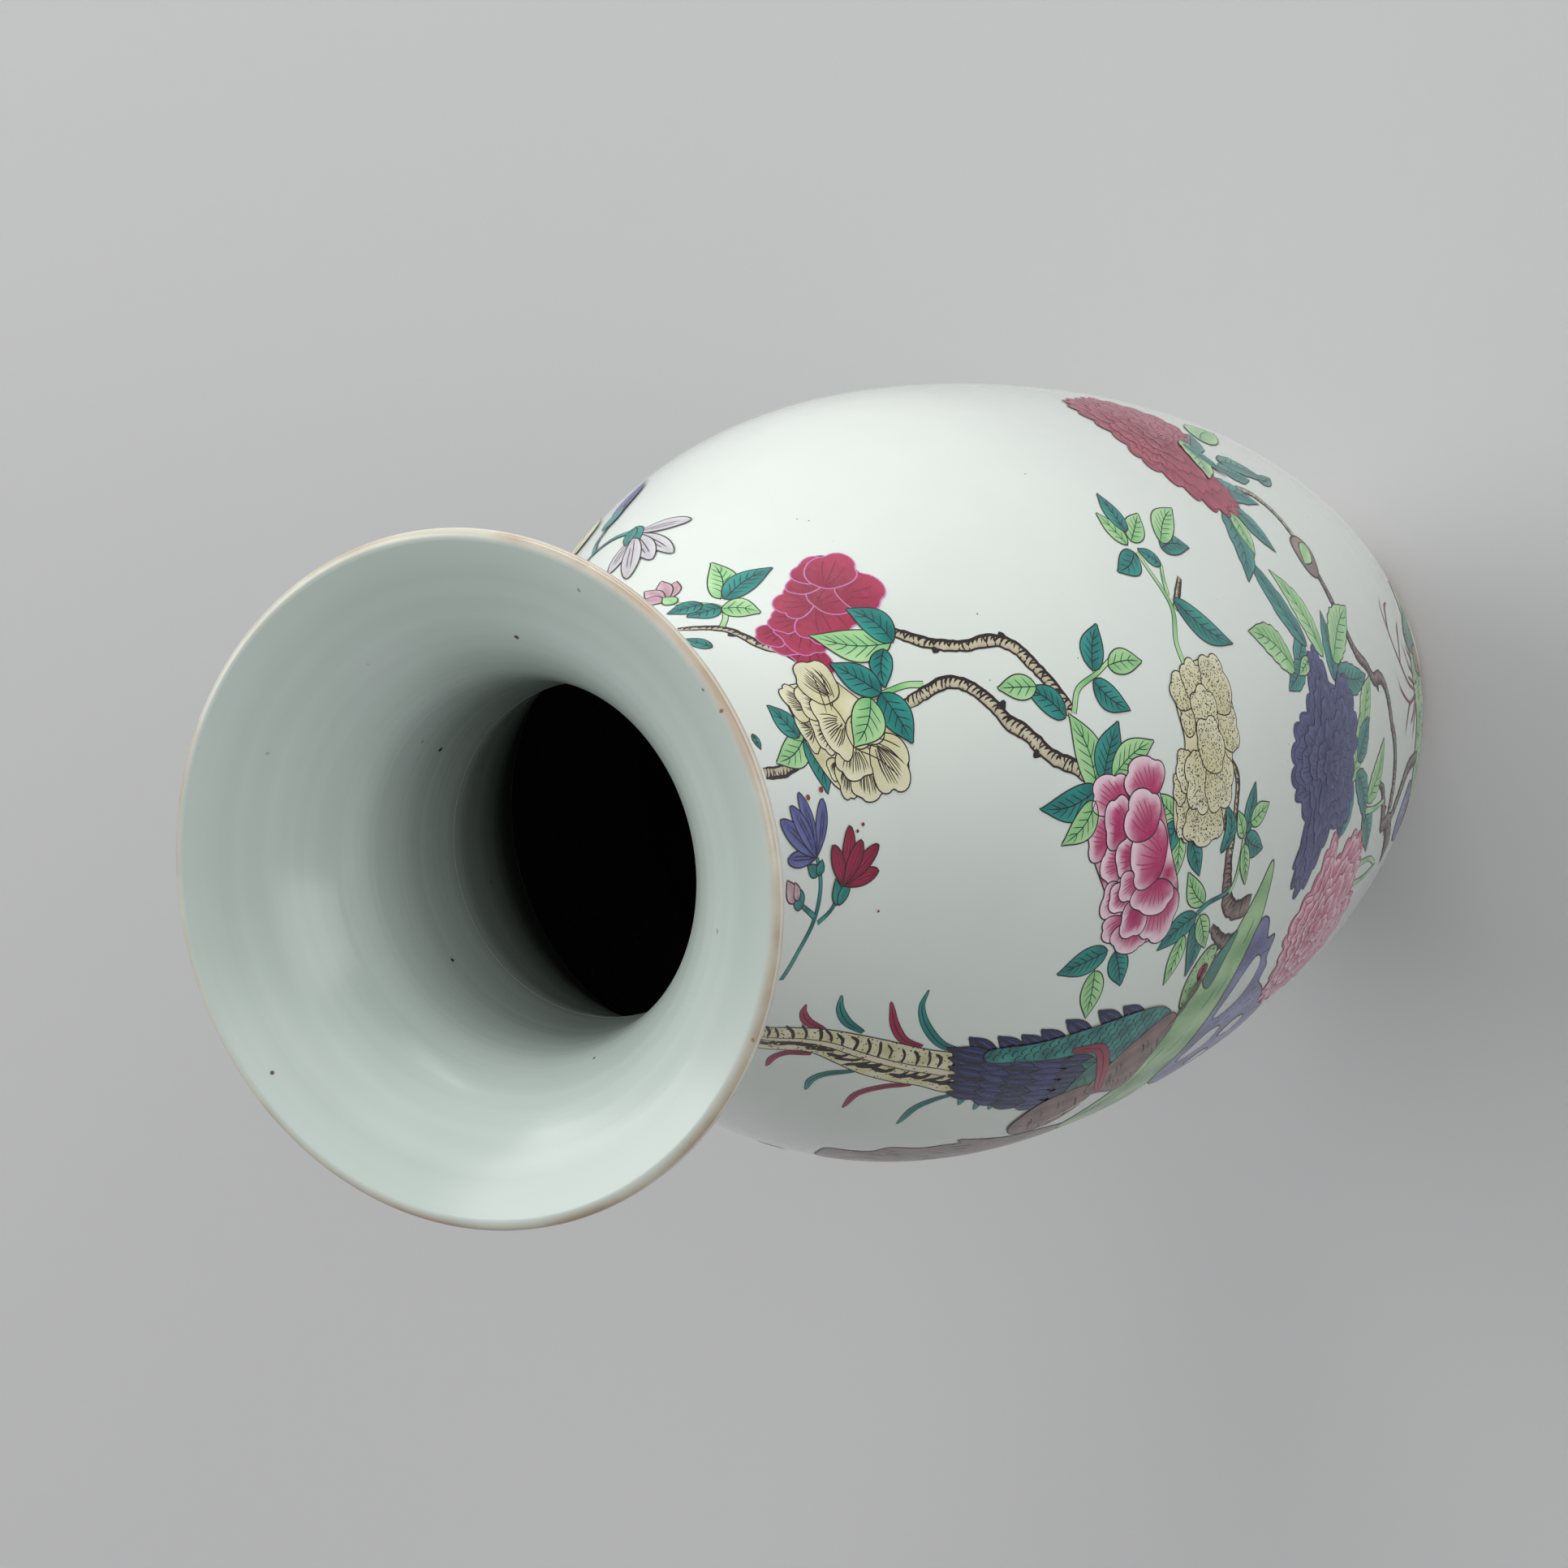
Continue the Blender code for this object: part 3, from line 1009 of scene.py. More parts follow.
def head_petal(motif, head, low, high, outer, width, tone, ink, streak, edge, dense):
    """Petal of a flower head between two bearings, with fine streaks towards the heart."""
    draw = motif.random
    inner = max(0.02, outer - width * 2.1)
    u = np.linspace(0, 1, 15)
    dip = 0.85 * np.abs(2 * u - 1) ** 2.6 + 0.13 * np.abs(np.cos(u * math.pi * 3))
    rim_line = head.place(low + (high - low) * u, outer - width * dip)
    sides = head.place(low + (high - low) * np.array((0.72, 0.5, 0.28)), inner)
    loop = even_path(np.concatenate([rim_line, sides]), 1.0, closed=True)
    fill(motif, loop, head.radial_tone(tone, inner, outer, loop, edge), FINE_STEP)
    line(motif, ink, rim_line, 0.28, (0.8, 0.8))
    root = inner + width * 0.6
    for k in range(dense):
        bearing = low + (high - low) * (0.2 + 0.6 * (k + draw.uniform(0.2, 0.8)) / dense)
        top = outer - width * draw.uniform(0.22, 0.5)
        sway = np.array((0.0, 0.02, 0.03)) * draw.choice((-1, 1))
        shares = np.array((root, (root + top) / 2, top))
        line(motif, streak, head.place(bearing + sway, shares), 0.24, (0.5, 0.2))


def bloom(motif, outline, heart, tone, rings, across, ink, streak, edge=None, dense=4):
    """Whole flower head inside an outline: rings of scalloped petals that shrink towards the heart."""
    heart = np.array(heart, float)
    loop = rippled(outline, heart)
    head = Head(loop, heart)
    motif.up()
    fill(motif, loop, flat_tone(tone))
    line(motif, ink, loop, closed=True)
    draw = motif.random
    width = 1.0 / rings
    for ring in range(rings, 0, -1):
        count = max(4, round(across * (0.3 + 0.7 * ring / rings)))
        start = draw.uniform(0, 6)
        floor = motif.lift
        for k in range(count):
            motif.lift = floor + LAYER * (1 + (k % 2 if k < count - 1 else 2))
            low = start + FULL_TURN * (k - 0.16) / count
            high = start + FULL_TURN * (k + 1.16) / count
            outer = width * ring * draw.uniform(0.95, 1.02)
            head_petal(motif, head, low, high, outer, width, tone, ink, streak, edge, dense)
        motif.lift = floor + LAYER * 4


def dots(motif, ink, box, count, size, within=None):
    """Stippled round dots inside a box of turn and reach, and inside a loop if one is given."""
    draw = motif.random
    angles = np.radians(np.arange(0, 360, 60))
    loop = None if within is None else np.asarray(within)
    for _ in range(count):
        turn, reach = draw.uniform(box[0], box[1]), draw.uniform(box[2], box[3])
        radius = size * draw.uniform(0.35, 0.6)
        scale = mm_per_degree(reach)
        if loop is not None:
            odd, away = inside(np.array([[turn * scale, reach]]), loop * (scale, 1.0))
            if not odd[0] or away[0] < size * 0.5:
                continue
        spots = (turn + np.cos(angles) * radius / scale, reach + np.sin(angles) * radius)
        motif.lay(ink, *spots, motif.lift + LINE_ABOVE, [[0, 1, 2, 3, 4, 5]])


def leafy(motif, points, count, length, width):
    """Leaves in turn on the two sides of a stem, teal and light by turns."""
    spine = even_path(points, 1.0)
    floor = motif.lift
    for k in range(count):
        motif.lift = floor + LAYER * (k % 4)
        i = round((len(spine) - 2) * (k + 0.6) / count)
        scale = mm_per_degree(spine[i, 1])
        way = (spine[i + 1] - spine[i]) * (scale, 1.0)
        angle = math.atan2(way[1], way[0]) + (0.95 if k % 2 else -0.95) + motif.random.uniform(-0.2, 0.2)
        far = length * motif.random.uniform(0.85, 1.15)
        tip = (spine[i, 0] + math.cos(angle) * far / scale, spine[i, 1] + math.sin(angle) * far)
        kind = ("teal", "light")[(k // 2 + k) % 2]
        leaf(motif, kind, tuple(spine[i]), tip, width, motif.random.uniform(-0.1, 0.1))


def wreath(motif, centre, start, count, length, width, hub, teeth):
    """Leaves that spread from under a flower."""
    scale = mm_per_degree(centre[1])
    floor = motif.lift
    for k in range(count):
        motif.lift = floor + LAYER * (k % 4)
        angle = start + FULL_TURN * (k + k // 3 * 0.5) / (count + 1) + motif.random.uniform(-0.2, 0.2)
        across, up = math.cos(angle) / scale, math.sin(angle)
        tip_reach = length * motif.random.uniform(0.8, 1.15)
        base, tip = [(centre[0] + across * far, centre[1] + up * far) for far in (hub, tip_reach)]
        kind = "light" if k % 3 == 1 else "teal"
        leaf(motif, kind, base, tip, width, motif.random.uniform(-0.1, 0.1), teeth)


def ragged(motif, centre, wide, tall, lobes=7):
    """Uneven lobed outline of a flower head."""
    scale = mm_per_degree(centre[1])
    points = []
    for k in range(lobes * 2):
        angle = math.pi * k / lobes
        size = (0.9 if k % 2 else 1.03) * motif.random.uniform(0.86, 1.1)
        across, up = math.cos(angle) * wide * size / scale, math.sin(angle) * tall * size
        points.append((centre[0] + across, centre[1] + up))
    return points


def finish_motifs(motifs):
    """Makes a piece of each motif's enamel and of each of its inks."""
    enamel = enamel_finish()
    inks = {name: ink_finish(name, colour) for name, colour in INKS.items()}
    for motif in motifs:
        for ink, sheet in motif.sheets.items():
            name = f"{motif.name}_{ink}"
            mesh = bpy.data.meshes.new(name)
            mesh.from_pydata(np.concatenate(sheet["points"]).tolist(), [], sheet["faces"])
            mesh.shade_smooth()
            if sheet["colours"]:
                paint_points(mesh, "paint", np.concatenate(sheet["colours"]))
            mesh.materials.append(enamel if sheet["colours"] else inks[ink])
            piece = bpy.data.objects.new(name, mesh)
            bpy.context.scene.collection.objects.link(piece)
            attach(piece, "root")


# ---------------------------------------------------------------------------------------------
# Painted side: neck and shoulder
# ---------------------------------------------------------------------------------------------

def blossom(motif, heart, tone, tips, width, streak="dark"):
    """Small pointed flower: petals from one heart to each tip, with a fold line in each."""
    for tip_turn, tip_reach, *own in tips:
        place = blade(
            motif, heart, (tip_turn, tip_reach), own[0] if own else width, tone, blunt=1.25, point=-0.1,
        )
        line(motif, streak, place(np.array((0.15, 0.5, 0.8)), 0.1), 0.26)
        line(motif, streak, place(np.array((0.3, 0.55, 0.75)), -0.35), 0.24)


def neck_flowers():
    """Two small open flowers and a bud on thin teal stems, beside the neck."""
    motif = Motif("neck_flowers")
    stem(motif, "teal", ((-100, 396), (-90, 396.4), (-80, 395.5), (-70, 396), (-62, 398)), 1.2)
    stem(motif, "teal", ((-79, 395.8), (-77, 398.6), (-74.5, 402.4)), 1.0)
    stem(motif, "teal", ((-81, 394), (-77.5, 391), (-73, 389.6)), 1.0)
    blade(motif, (-76.5, 401.6), (-69, 404.6), 3.6, "teal")
    blade(motif, (-74, 404.4), (-66.6, 408.8), 3.6, "mauve")
    blade(motif, (-73.5, 403.2), (-67.6, 405.6), 2.4, "mauve")
    for tip in ((-63.4, 401.4), (-62.6, 396.2)):
        blade(motif, (-67, 397.4), tip, 2.8, "teal")
    blossom(
        motif, (-62, 398.4), "blue",
        ((-61, 409), (-46, 394.4), (-42.8, 401.8), (-49.4, 410.6, 4.6), (-46, 405.8, 4.2)), 3.6,
    )
    for tip in ((-68.4, 391.6), (-68.2, 387)):
        blade(motif, (-76, 389.2), tip, 3.0, "teal")
    crimson = ((-67, 379), (-60.4, 379.4), (-54.6, 387.4), (-59, 393), (-58.8, 384.2, 4.0))
    blossom(motif, (-70.6, 389), "dusky", crimson, 3.7, "rose")
    for turn, reach, size in (
        (-45, 399, 1.0), (-43.8, 394.2, 1.1), (-56.5, 385.3, 0.7), (-55, 383.6, 0.7), (-77.5, 377, 0.6),
    ):
        dots(motif, "rust", (turn, turn, reach, reach), 1, size * 1.4)
    return motif


def cream_peony():
    motif = Motif("cream_peony")
    branch(motif, ((-35.5, 411), (-36.2, 404), (-35, 398.5), (-32, 395)), 2.6, 2.0)
    leaves(
        motif,
        ("teal", -23.4, 408, -28.6, 408.4, 2.4),
        ("light", -28, 392, -33.4, 405.6, 7.0, 0.1),
        ("teal", -28.5, 394.5, -16.4, 397.2, 6.2),
        ("teal", -29, 392.5, -45.6, 392.4, 6.6, 0.06),
    )
    heart = (-28, 379)
    boxes = (
        (-42.5, -36, 385.6, 389.8), (-47.4, -37, 383.4, 388.2), (-33.5, -21.5, 388.6, 392.8),
        (-25.6, -14, 386.4, 391.6), (-48.8, -39, 375.6, 384.4), (-35, -25, 384.6, 389.4),
        (-27, -16, 379.6, 388.2), (-43, -33.6, 376.8, 386.6), (-47.8, -33.6, 368.8, 378.4),
        (-37, -21, 379.6, 386.8), (-24.4, -11, 376, 384.8), (-36, -27, 372, 381.6),
    )
    under = (
        (-43, 390), (-33, 393), (-20, 392), (-14, 388), (-16, 381), (-12, 378), (-22, 375), (-36, 369),
        (-46, 369.6), (-48, 378), (-46, 386),
    )
    backing(motif, "cream", under)
    petals(motif, heart, boxes, "cream", streak="dark", streaks=11, lobes=5)
    for start, middle, end in (
        ((-45, 372), (-40, 376), (-36, 381)), ((-42, 370), (-38, 374), (-34.6, 380)),
        ((-39, 369.4), (-36, 373), (-33.6, 379)),
        ((-14, 380), (-19, 381.6), (-25, 383.4)), ((-15, 378), (-20, 380), (-25, 381.8)),
        ((-31, 386), (-30, 384), (-29.4, 381)),
    ):
        line(motif, "dark", (start, middle, end), 0.26)
    leaves(
        motif,
        ("teal", -17.4, 360.6, -25.4, 366.4, 5.4, -0.1),
        ("teal", -26, 368, -13.8, 374.4, 7.4),
        ("teal", -26, 368, -39.2, 366, 8.0),
        ("light", -26, 371, -35.6, 381, 8.4, 0.08),
    )
    return motif


def crimson_peony():
    motif = Motif("crimson_peony")
    heart = (-1, 369)
    back = (
        (-15.4, -2.6, 372.6, 380.4), (-7, 2, 374.6, 381.6), (-3, 4.4, 375.4, 382), (-9.6, 2.4, 369, 378),
        (-2, 5, 369, 376.4),
    )
    front = (
        (-9.4, 1.4, 358, 373), (-1, 7.6, 361.6, 371), (-5.4, 4.6, 354, 366), (2, 8.8, 354, 365),
        (3, 9.8, 352, 361.4), (-8.2, 1.6, 349, 360), (-0.8, 7.8, 348.4, 360.6),
    )
    style = {"streak": "dusky_line", "rim": "lilac", "lobes": 4, "streaks": 3}
    under = (
        (-14, 378), (-8, 381), (1, 381.4), (4, 379), (3, 375), (4, 371), (7, 366), (8, 358), (9.4, 355),
        (7, 350), (-6, 350), (-8, 358), (-9, 366), (-10, 373),
    )
    backing(motif, "crimson", under)
    petals(motif, heart, back, "crimson", **style)
    petals(motif, (0, 364), front, "crimson", **style)
    leaves(
        motif,
        ("light", -17, 358, -5, 372.6, 8.6, 0.12),
        ("teal", -17, 357.4, -5, 360.2, 7.6, -0.1),
    )
    return motif


def right_twig():
    """Twig with small leaves and a bud to the right of the crimson peony, and the magnolia beyond it."""
    motif = Motif("right_twig")
    twig = ((-3.5, 381), (0, 383.5), (6, 384), (12, 385), (21, 390.4))
    branch(motif, twig, 2.2, 1.4, thorns=((0.5, 1),))
    stem(motif, "light", ((12, 384), (14, 380), (18, 377.4), (29, 379.2)), 1.1)
    leaves(
        motif,
        ("light", 16.6, 378, 7.6, 374.4, 7.0, 0.1),
        ("teal", 17, 377.6, 22.6, 384.4, 6.0),
        ("teal", 22, 378, 28.6, 384, 5.6),
        ("teal", 18, 374.4, 14.2, 359.6, 7.0, 0.08),
        ("light", 19, 374.6, 28.4, 362, 7.0, -0.08),
        ("teal", 8, 393, 16.6, 394.6, 4.6),
    )
    for base, tip in (
        ((32, 378), (33.6, 369.6)), ((32, 378), (38, 369)), ((32.6, 378), (41, 372.6)),
        ((32.4, 378.4), (40, 377)),
    ):
        blade(motif, base, tip, 4.0, "mauve", blunt=1.1)
    blade(motif, (29, 379.2), (34, 376.6), 3.6, "light")
    stem(motif, "teal", ((54, 340), (60, 337), (65, 337.6), (68, 341)), 1.3)
    stem(motif, "teal", ((65, 337), (65.4, 331), (64, 325)), 1.2)
    magnolia = ((39.4, 357.6, 4.2), (56, 357, 4.6), (44.4, 358.4, 4.8), (49, 364, 5.2), (39.8, 344, 4.6))
    blossom(motif, (53.4, 342), "magnolia", magnolia, 4.6, "dark")
    for tip in ((51, 346), (54.6, 346.6)):
        blade(motif, (54.6, 338), tip, 3.6, "teal")
    blade(motif, (63, 324), (60.6, 301.6), 5.4, "blue", bend=0.05)
    blade(motif, (62.4, 321), (60, 306), 2.6, "night")
    blade(motif, (65, 325.6), (62, 316), 5.0, "teal")
    blade(motif, (73, 322), (71, 303), 7.6, "cream")
    blade(motif, (75, 321), (74.6, 305), 4.6, "cream")
    return motif


def shoulder_branches():
    motif = Motif("shoulder_branches")
    stem(motif, "light", ((-28, 357), (-26.6, 361), (-26.2, 366), (-26, 371)), 1.4)
    first = (
        (-54, 320), (-51, 325), (-49, 330), (-47, 333), (-43, 337), (-40.5, 340.5), (-37, 342.5),
        (-32, 346.5), (-29.5, 351), (-29.5, 356), (-30.5, 364),
    )
    second = (
        (-42, 323), (-37, 325.5), (-32, 328.5), (-28.5, 330.5), (-26, 334), (-25, 338), (-24.5, 342),
        (-22.5, 347), (-20, 351), (-17, 354), (-14, 356.5), (-11, 358),
    )
    branch(motif, second, 3.0, 2.2, thorns=((0.4, -1), (0.72, 1)))
    branch(motif, first, 3.6, 2.6, thorns=((0.3, 1), (0.55, -1)))
    stem(motif, "light", ((-42, 322.4), (-38.5, 319), (-37, 312), (-35.4, 306)), 1.2)
    leaves(
        motif,
        ("teal", -42.4, 325, -35.4, 333.6, 6.4, -0.08),
        ("light", -36, 330, -34, 340.2, 6.0),
        ("teal", -55, 320, -57, 336.6, 7.4, 0.1),
        ("light", -57, 320.6, -63.8, 330.6, 6.6, 0.1),
        ("light", -55.6, 320, -41.8, 324, 8.2, -0.06),
        ("teal", -54, 318, -45, 310.2, 7.8, 0.06),
        ("light", -53.6, 315, -49.2, 300.2, 7.4, 0.08),
        ("teal", -38, 314, -44, 305.6, 6.4, -0.1),
        ("light", -36.4, 308, -37.4, 297, 6.2, 0.06),
        ("teal", -36.4, 313, -29.6, 305.6, 6.6, 0.08),
    )
    return motif


# ---------------------------------------------------------------------------------------------
# Painted side: middle of the body
# ---------------------------------------------------------------------------------------------

def pink_peony():
    """Large peony with white edges and deep pink hearts to its petals."""
    motif = Motif("pink_peony", level=2)
    leaves(
        motif,
        ("light", -85.6, 311, -94.4, 305.4, 6.4),
        ("teal", -82, 309.6, -87, 322.2, 7.0),
        ("teal", -82, 307, -88, 300, 6.0),
        ("teal", -62, 293.4, -67.4, 302.4, 6.4),
        ("light", -62, 294, -57, 302.6, 6.0),
        ("light", -63, 293.2, -70.6, 293, 5.0),
        ("teal", -64.5, 289, -70.6, 283.6, 5.4),
    )
    white_edge = TONES["rose"][1]
    light = (
        (-66.8, -59, 314.6, 322.4), (-59.8, -53.4, 309.6, 320.8), (-70.4, -64.4, 310.6, 317.8),
        (-76.4, -70.2, 308.6, 315.8), (-80.2, -75.6, 304.6, 313.4), (-81.8, -76.4, 298.6, 309.4),
        (-79.8, -70.8, 290.6, 301.4),
    )
    deep = (
        (-65.2, -57.2, 309.6, 317.4), (-69.4, -63.6, 306.6, 313.6), (-75.2, -70.4, 306.6, 313.8),
        (-79.2, -72.6, 300.4, 308.4),
    )
    front = (
        (-73.4, -68.6, 304.6, 311.4), (-75.4, -69.6, 293.6, 306.4), (-58.4, -51.8, 299, 310.8),
        (-71.4, -61.6, 296.6, 308.4), (-64.8, -56.8, 300.4, 311.2),
    )
    heart = (-67, 300)
    under = (
        (-80, 309), (-73, 315), (-66, 321), (-60, 321), (-54, 318), (-54, 310), (-52, 304), (-58, 300),
        (-66, 296), (-73, 291), (-79, 294), (-81, 302),
    )
    backing(motif, "rose", under)
    petals(motif, heart, light, "rose", edge=white_edge, streaks=6, power=3.0)
    petals(motif, heart, deep, "deep rose", edge=white_edge, streaks=5, power=2.8)
    petals(motif, heart, front, "rose", edge=white_edge, streaks=6, power=2.8)
    return motif


def stippled_peony():
    """Cream peony with stippled petals, its stem and the leaves on both sides."""
    motif = Motif("stippled_peony", level=1)
    stem(motif, "light", ((-41, 282.5), (-36, 282.5), (-31, 278), (-25, 278.5), (-21.5, 278.6)), 1.4)
    stem(motif, "light", ((-29, 277), (-26.4, 275), (-24.4, 272.4)), 1.1)
    branch(motif, ((-31.4, 277), (-29, 272.4), (-27, 268)), 1.8, 1.2)
    leaves(
        motif,
        ("teal", -30, 276, -38.4, 257.4, 7.6, -0.1),
        ("teal", -21.4, 279.6, -23.4, 290, 6.6, 0.1),
        ("light", -20, 280, -13.4, 281.4, 5.6),
        ("teal", -18, 277, -10.4, 274.2, 6.0),
        ("light", -19.6, 277.6, -15.6, 265.6, 6.0),
        ("teal", -24.4, 272.4, -21, 277.6, 4.6),
        ("teal", -22, 267.6, -23, 254.4, 6.6, 0.1),
        ("light", -21, 266, -16, 247.4, 7.0, 0.06),
    )
    heart = (-54, 282)
    boxes = (
        (-64.4, -56.8, 288.4, 294.4), (-59.2, -54.6, 291, 295.4), (-57.4, -51.6, 286.4, 293.6),
        (-50.4, -44.6, 284.4, 289.4), (-46.6, -40.6, 282.4, 290.4), (-46.4, -39.4, 277.4, 285.4),
        (-65.4, -58.6, 276.6, 291.2), (-60.4, -51.6, 280.4, 290.4), (-60.6, -52.4, 272.4, 284.4),
        (-53.4, -46.6, 267.4, 276.4), (-48.6, -39.6, 267.4, 278.4), (-51.4, -43.6, 275.4, 284.6),
        (-56.4, -48.2, 275.4, 285.4),
    )
    backing(
        motif, "cream",
        (
            (-64, 294), (-57, 295.4), (-51, 290), (-44, 290), (-40, 284), (-40, 270), (-48, 267),
            (-54, 271), (-60, 274), (-65, 280),
        ),
    )
    for box in boxes:
        loop = petal(motif, box, heart, "cream", streaks=0, lobes=6)
        count = round((box[1] - box[0]) * (box[3] - box[2]) * 3.4)
        dots(motif, "dark", box, count, 0.36, loop)
    return motif


def left_trunks():
    """Sprigs and hatched branches between the pink peony and the pheasant."""
    motif = Motif("left_sprigs")
    branch(motif, ((-82.6, 254), (-81.6, 264), (-79, 272)), 4.6, 2.0, "bark", thorns=((0.5, 1),))
    branch(
        motif, ((-76.6, 254), (-77, 262), (-75, 268), (-70, 271), (-66, 272), (-62, 276)), 5.4, 1.8,
        "bark",
    )
    branch(motif, ((-68, 271), (-62, 270), (-57, 269), (-54, 272)), 2.0, 1.3)
    stem(motif, "teal", ((-76.5, 281), (-75, 277), (-74, 270), (-73, 268)), 1.2)
    stem(motif, "light", ((-74, 268), (-72, 266), (-66, 265)), 1.2)
    leaves(
        motif,
        ("teal", -76.6, 281, -82, 292.4, 7.0, -0.08),
        ("light", -79.6, 284, -88, 283.4, 5.4),
        ("teal", -78, 281, -87, 275.2, 6.2, 0.1),
        ("light", -76.8, 279.4, -82.4, 271.6, 5.6),
        ("light", -75, 279, -69.6, 288.4, 5.8, 0.1),
        ("teal", -67.6, 275.4, -60.2, 275.4, 5.4, -0.3),
        ("light", -66, 265, -61.8, 269, 4.6),
        ("light", -67, 264.6, -73.4, 260.2, 4.8),
        ("teal", -65.4, 264.2, -58.2, 259.6, 5.8),
        ("teal", -66, 264, -68.4, 253.4, 6.2, -0.06),
        ("light", -64, 262, -61.8, 251.6, 5.4),
    )
    return motif


SPINE_SHARE = 0.46         # where the spine of the pheasant's tail lies between its two edges
SCALE_SHIFT = 0.9


def feather(motif, tone, points, width):
    """Slender curved plume that tapers to both ends."""
    path = even_path(points, LINE_STEP)
    t = np.linspace(0, 1, len(path))
    half = width / 2 * np.sin(math.pi * (0.08 + 0.92 * t)) ** 0.7 + 0.05
    outlined_ribbon(motif, path, half, 0.16, tint(tone, t))
    line(motif, "dark", path[2:-2], 0.22)


def wing_feather(motif, base, tip, width, tone):
    """Dark flight feather, widest near its end, with a shaft and two barbs."""
    place = blade(motif, base, tip, width, tone, blunt=1.5)
    line(motif, "dark", place(np.linspace(0.1, 0.94, 4), 0.0), 0.4)
    for side in (-0.45, 0.45):
        line(motif, "navy_line", place(np.array((0.35, 0.6, 0.82)), side), 0.3)


def side_plumes(motif):
    """Slender plumes on both sides of the pheasant's tail."""
    floor = motif.lift
    for tone, points in (
        ("crimson", ((-113.5, 370), (-113, 376), (-110.5, 380), (-107.6, 381.6))),
        ("teal", ((-110, 361), (-109, 367), (-106, 372), (-102, 374.8))),
        ("crimson", ((-108, 344), (-108, 350), (-105, 356), (-100, 361.4))),
        ("teal", ((-106, 331), (-106, 340), (-103, 348), (-99, 353), (-94.8, 354.2))),
        ("crimson", ((-122, 365), (-125, 369.5), (-129, 370), (-133, 367))),
        ("teal", ((-120.5, 351), (-125, 355), (-129, 355), (-132.6, 351.4))),
        ("crimson", ((-117.5, 335), (-121, 340), (-126, 342), (-131.4, 338))),
        ("teal", ((-116, 322), (-119, 324.5), (-123, 325), (-128.4, 321))),
        ("teal", ((-113, 319), (-115, 319), (-118, 316.4))),
        ("teal", ((-112.6, 313), (-115, 313), (-118, 310.4))),
        ("teal", ((-112, 309), (-114, 309), (-117, 306.4))),
    ):
        motif.lift = floor
        feather(motif, tone, points, 1.9)


def barred_tail(motif):
    """Long cream tail with slanted dark bars on both sides of its spine, and fine stippling."""
    draw = motif.random
    left = (
        (-130, 384), (-128, 376), (-122, 367), (-121, 358), (-120.6, 350), (-119, 341), (-117, 333),
        (-116.4, 326), (-115, 319), (-113, 314),
    )
    right = (
        (-121.6, 388), (-119.5, 383.5), (-113.5, 371), (-110, 356), (-108, 341), (-106, 330),
        (-105.6, 320), (-106, 314),
    )
    left, right = even_path(left, 2.0), even_path(right, 2.0)
    motif.up()
    loop = np.concatenate([right[::-1], left])
    fill(motif, loop, flat_tone("cream"))
    line(motif, "dark", left)
    line(motif, "dark", right)
    rows = 22
    for k in range(rows):
        a = left[round((len(left) - 1) * k / rows)]
        b = right[round((len(right) - 1) * k / rows)]
        start = a + (b - a) * SPINE_SHARE
        for end, drop, width in ((a, 6.0, 1.7), (b, 4.2, 0.9)):
            slant = np.array((0.0, drop * draw.uniform(0.7, 1.1)))
            middle = start + (end - start) * draw.uniform(0.4, 0.6)
            edge = end - (end - start) * draw.uniform(0.04, 0.34)
            bar = (start + (end - start) * draw.uniform(0.08, 0.22), middle + slant * 0.3, edge + slant)
            line(motif, "dark", bar, width * draw.uniform(0.6, 1.05), (0.3, 0.2))
    spine = left[:: len(left) // 9][:9] * (1 - SPINE_SHARE) + right[:: len(right) // 9][:9] * SPINE_SHARE
    line(motif, "cream_line", spine, 1.2)
    line(motif, "dark", spine + (0.9, 0.0), 0.3)
    line(motif, "dark", spine - (0.9, 0.0), 0.3)
    dots(motif, "dark", (-131, -105, 316, 388), 760, 0.46, loop)


def dark_wing(motif):
    """Flight feathers, then rows of shorter ones that overlap like tiles, given by each row's two ends."""
    body = (
        (-112, 284), (-113, 296), (-113.4, 308), (-111, 318), (-107, 326), (-104, 316), (-101, 304),
        (-98, 294), (-97, 284),
        (-103, 280),
    )
    motif.up()
    fill(motif, even_path(body, 1.5, closed=True), flat_tone("navy"))
    for turn, reach in (
        (-102.6, 335), (-100.8, 327.6), (-99.4, 321.4), (-97.6, 317), (-95, 311.5), (-92.6, 303),
        (-91.6, 295),
    ):
        wing_feather(motif, (turn - 3.6, reach - 17), (turn, reach), 4.4, "navy")
    for count, root, root_end, tip, tip_end, tone in (
        (6, (-112.6, 308), (-105, 315), (-116, 325), (-106.4, 338), "navy"),
        (6, (-113, 301), (-104.4, 308), (-115.6, 316), (-105.4, 328), "indigo"),
        (6, (-113, 295), (-103.4, 301), (-115.4, 309), (-105, 320), "navy"),
        (5, (-112.6, 289), (-102.6, 294), (-114.6, 301), (-104.4, 312), "indigo"),
        (5, (-111.6, 284), (-101.6, 288), (-113, 293), (-103.4, 303), "navy"),
        (4, (-110, 281), (-102, 283), (-111.4, 288), (-103, 295), "deep"),
    ):
        floor = motif.lift
        for k in range(count):
            motif.lift = floor + LAYER * (k % 2)
            share = k / (count - 1)
            low = (root[0] + (root_end[0] - root[0]) * share, root[1] + (root_end[1] - root[1]) * share)
            high = (tip[0] + (tip_end[0] - tip[0]) * share, tip[1] + (tip_end[1] - tip[1]) * share)
            wing_feather(motif, low, high, 4.6, tone)
        motif.lift = floor + LAYER * 2


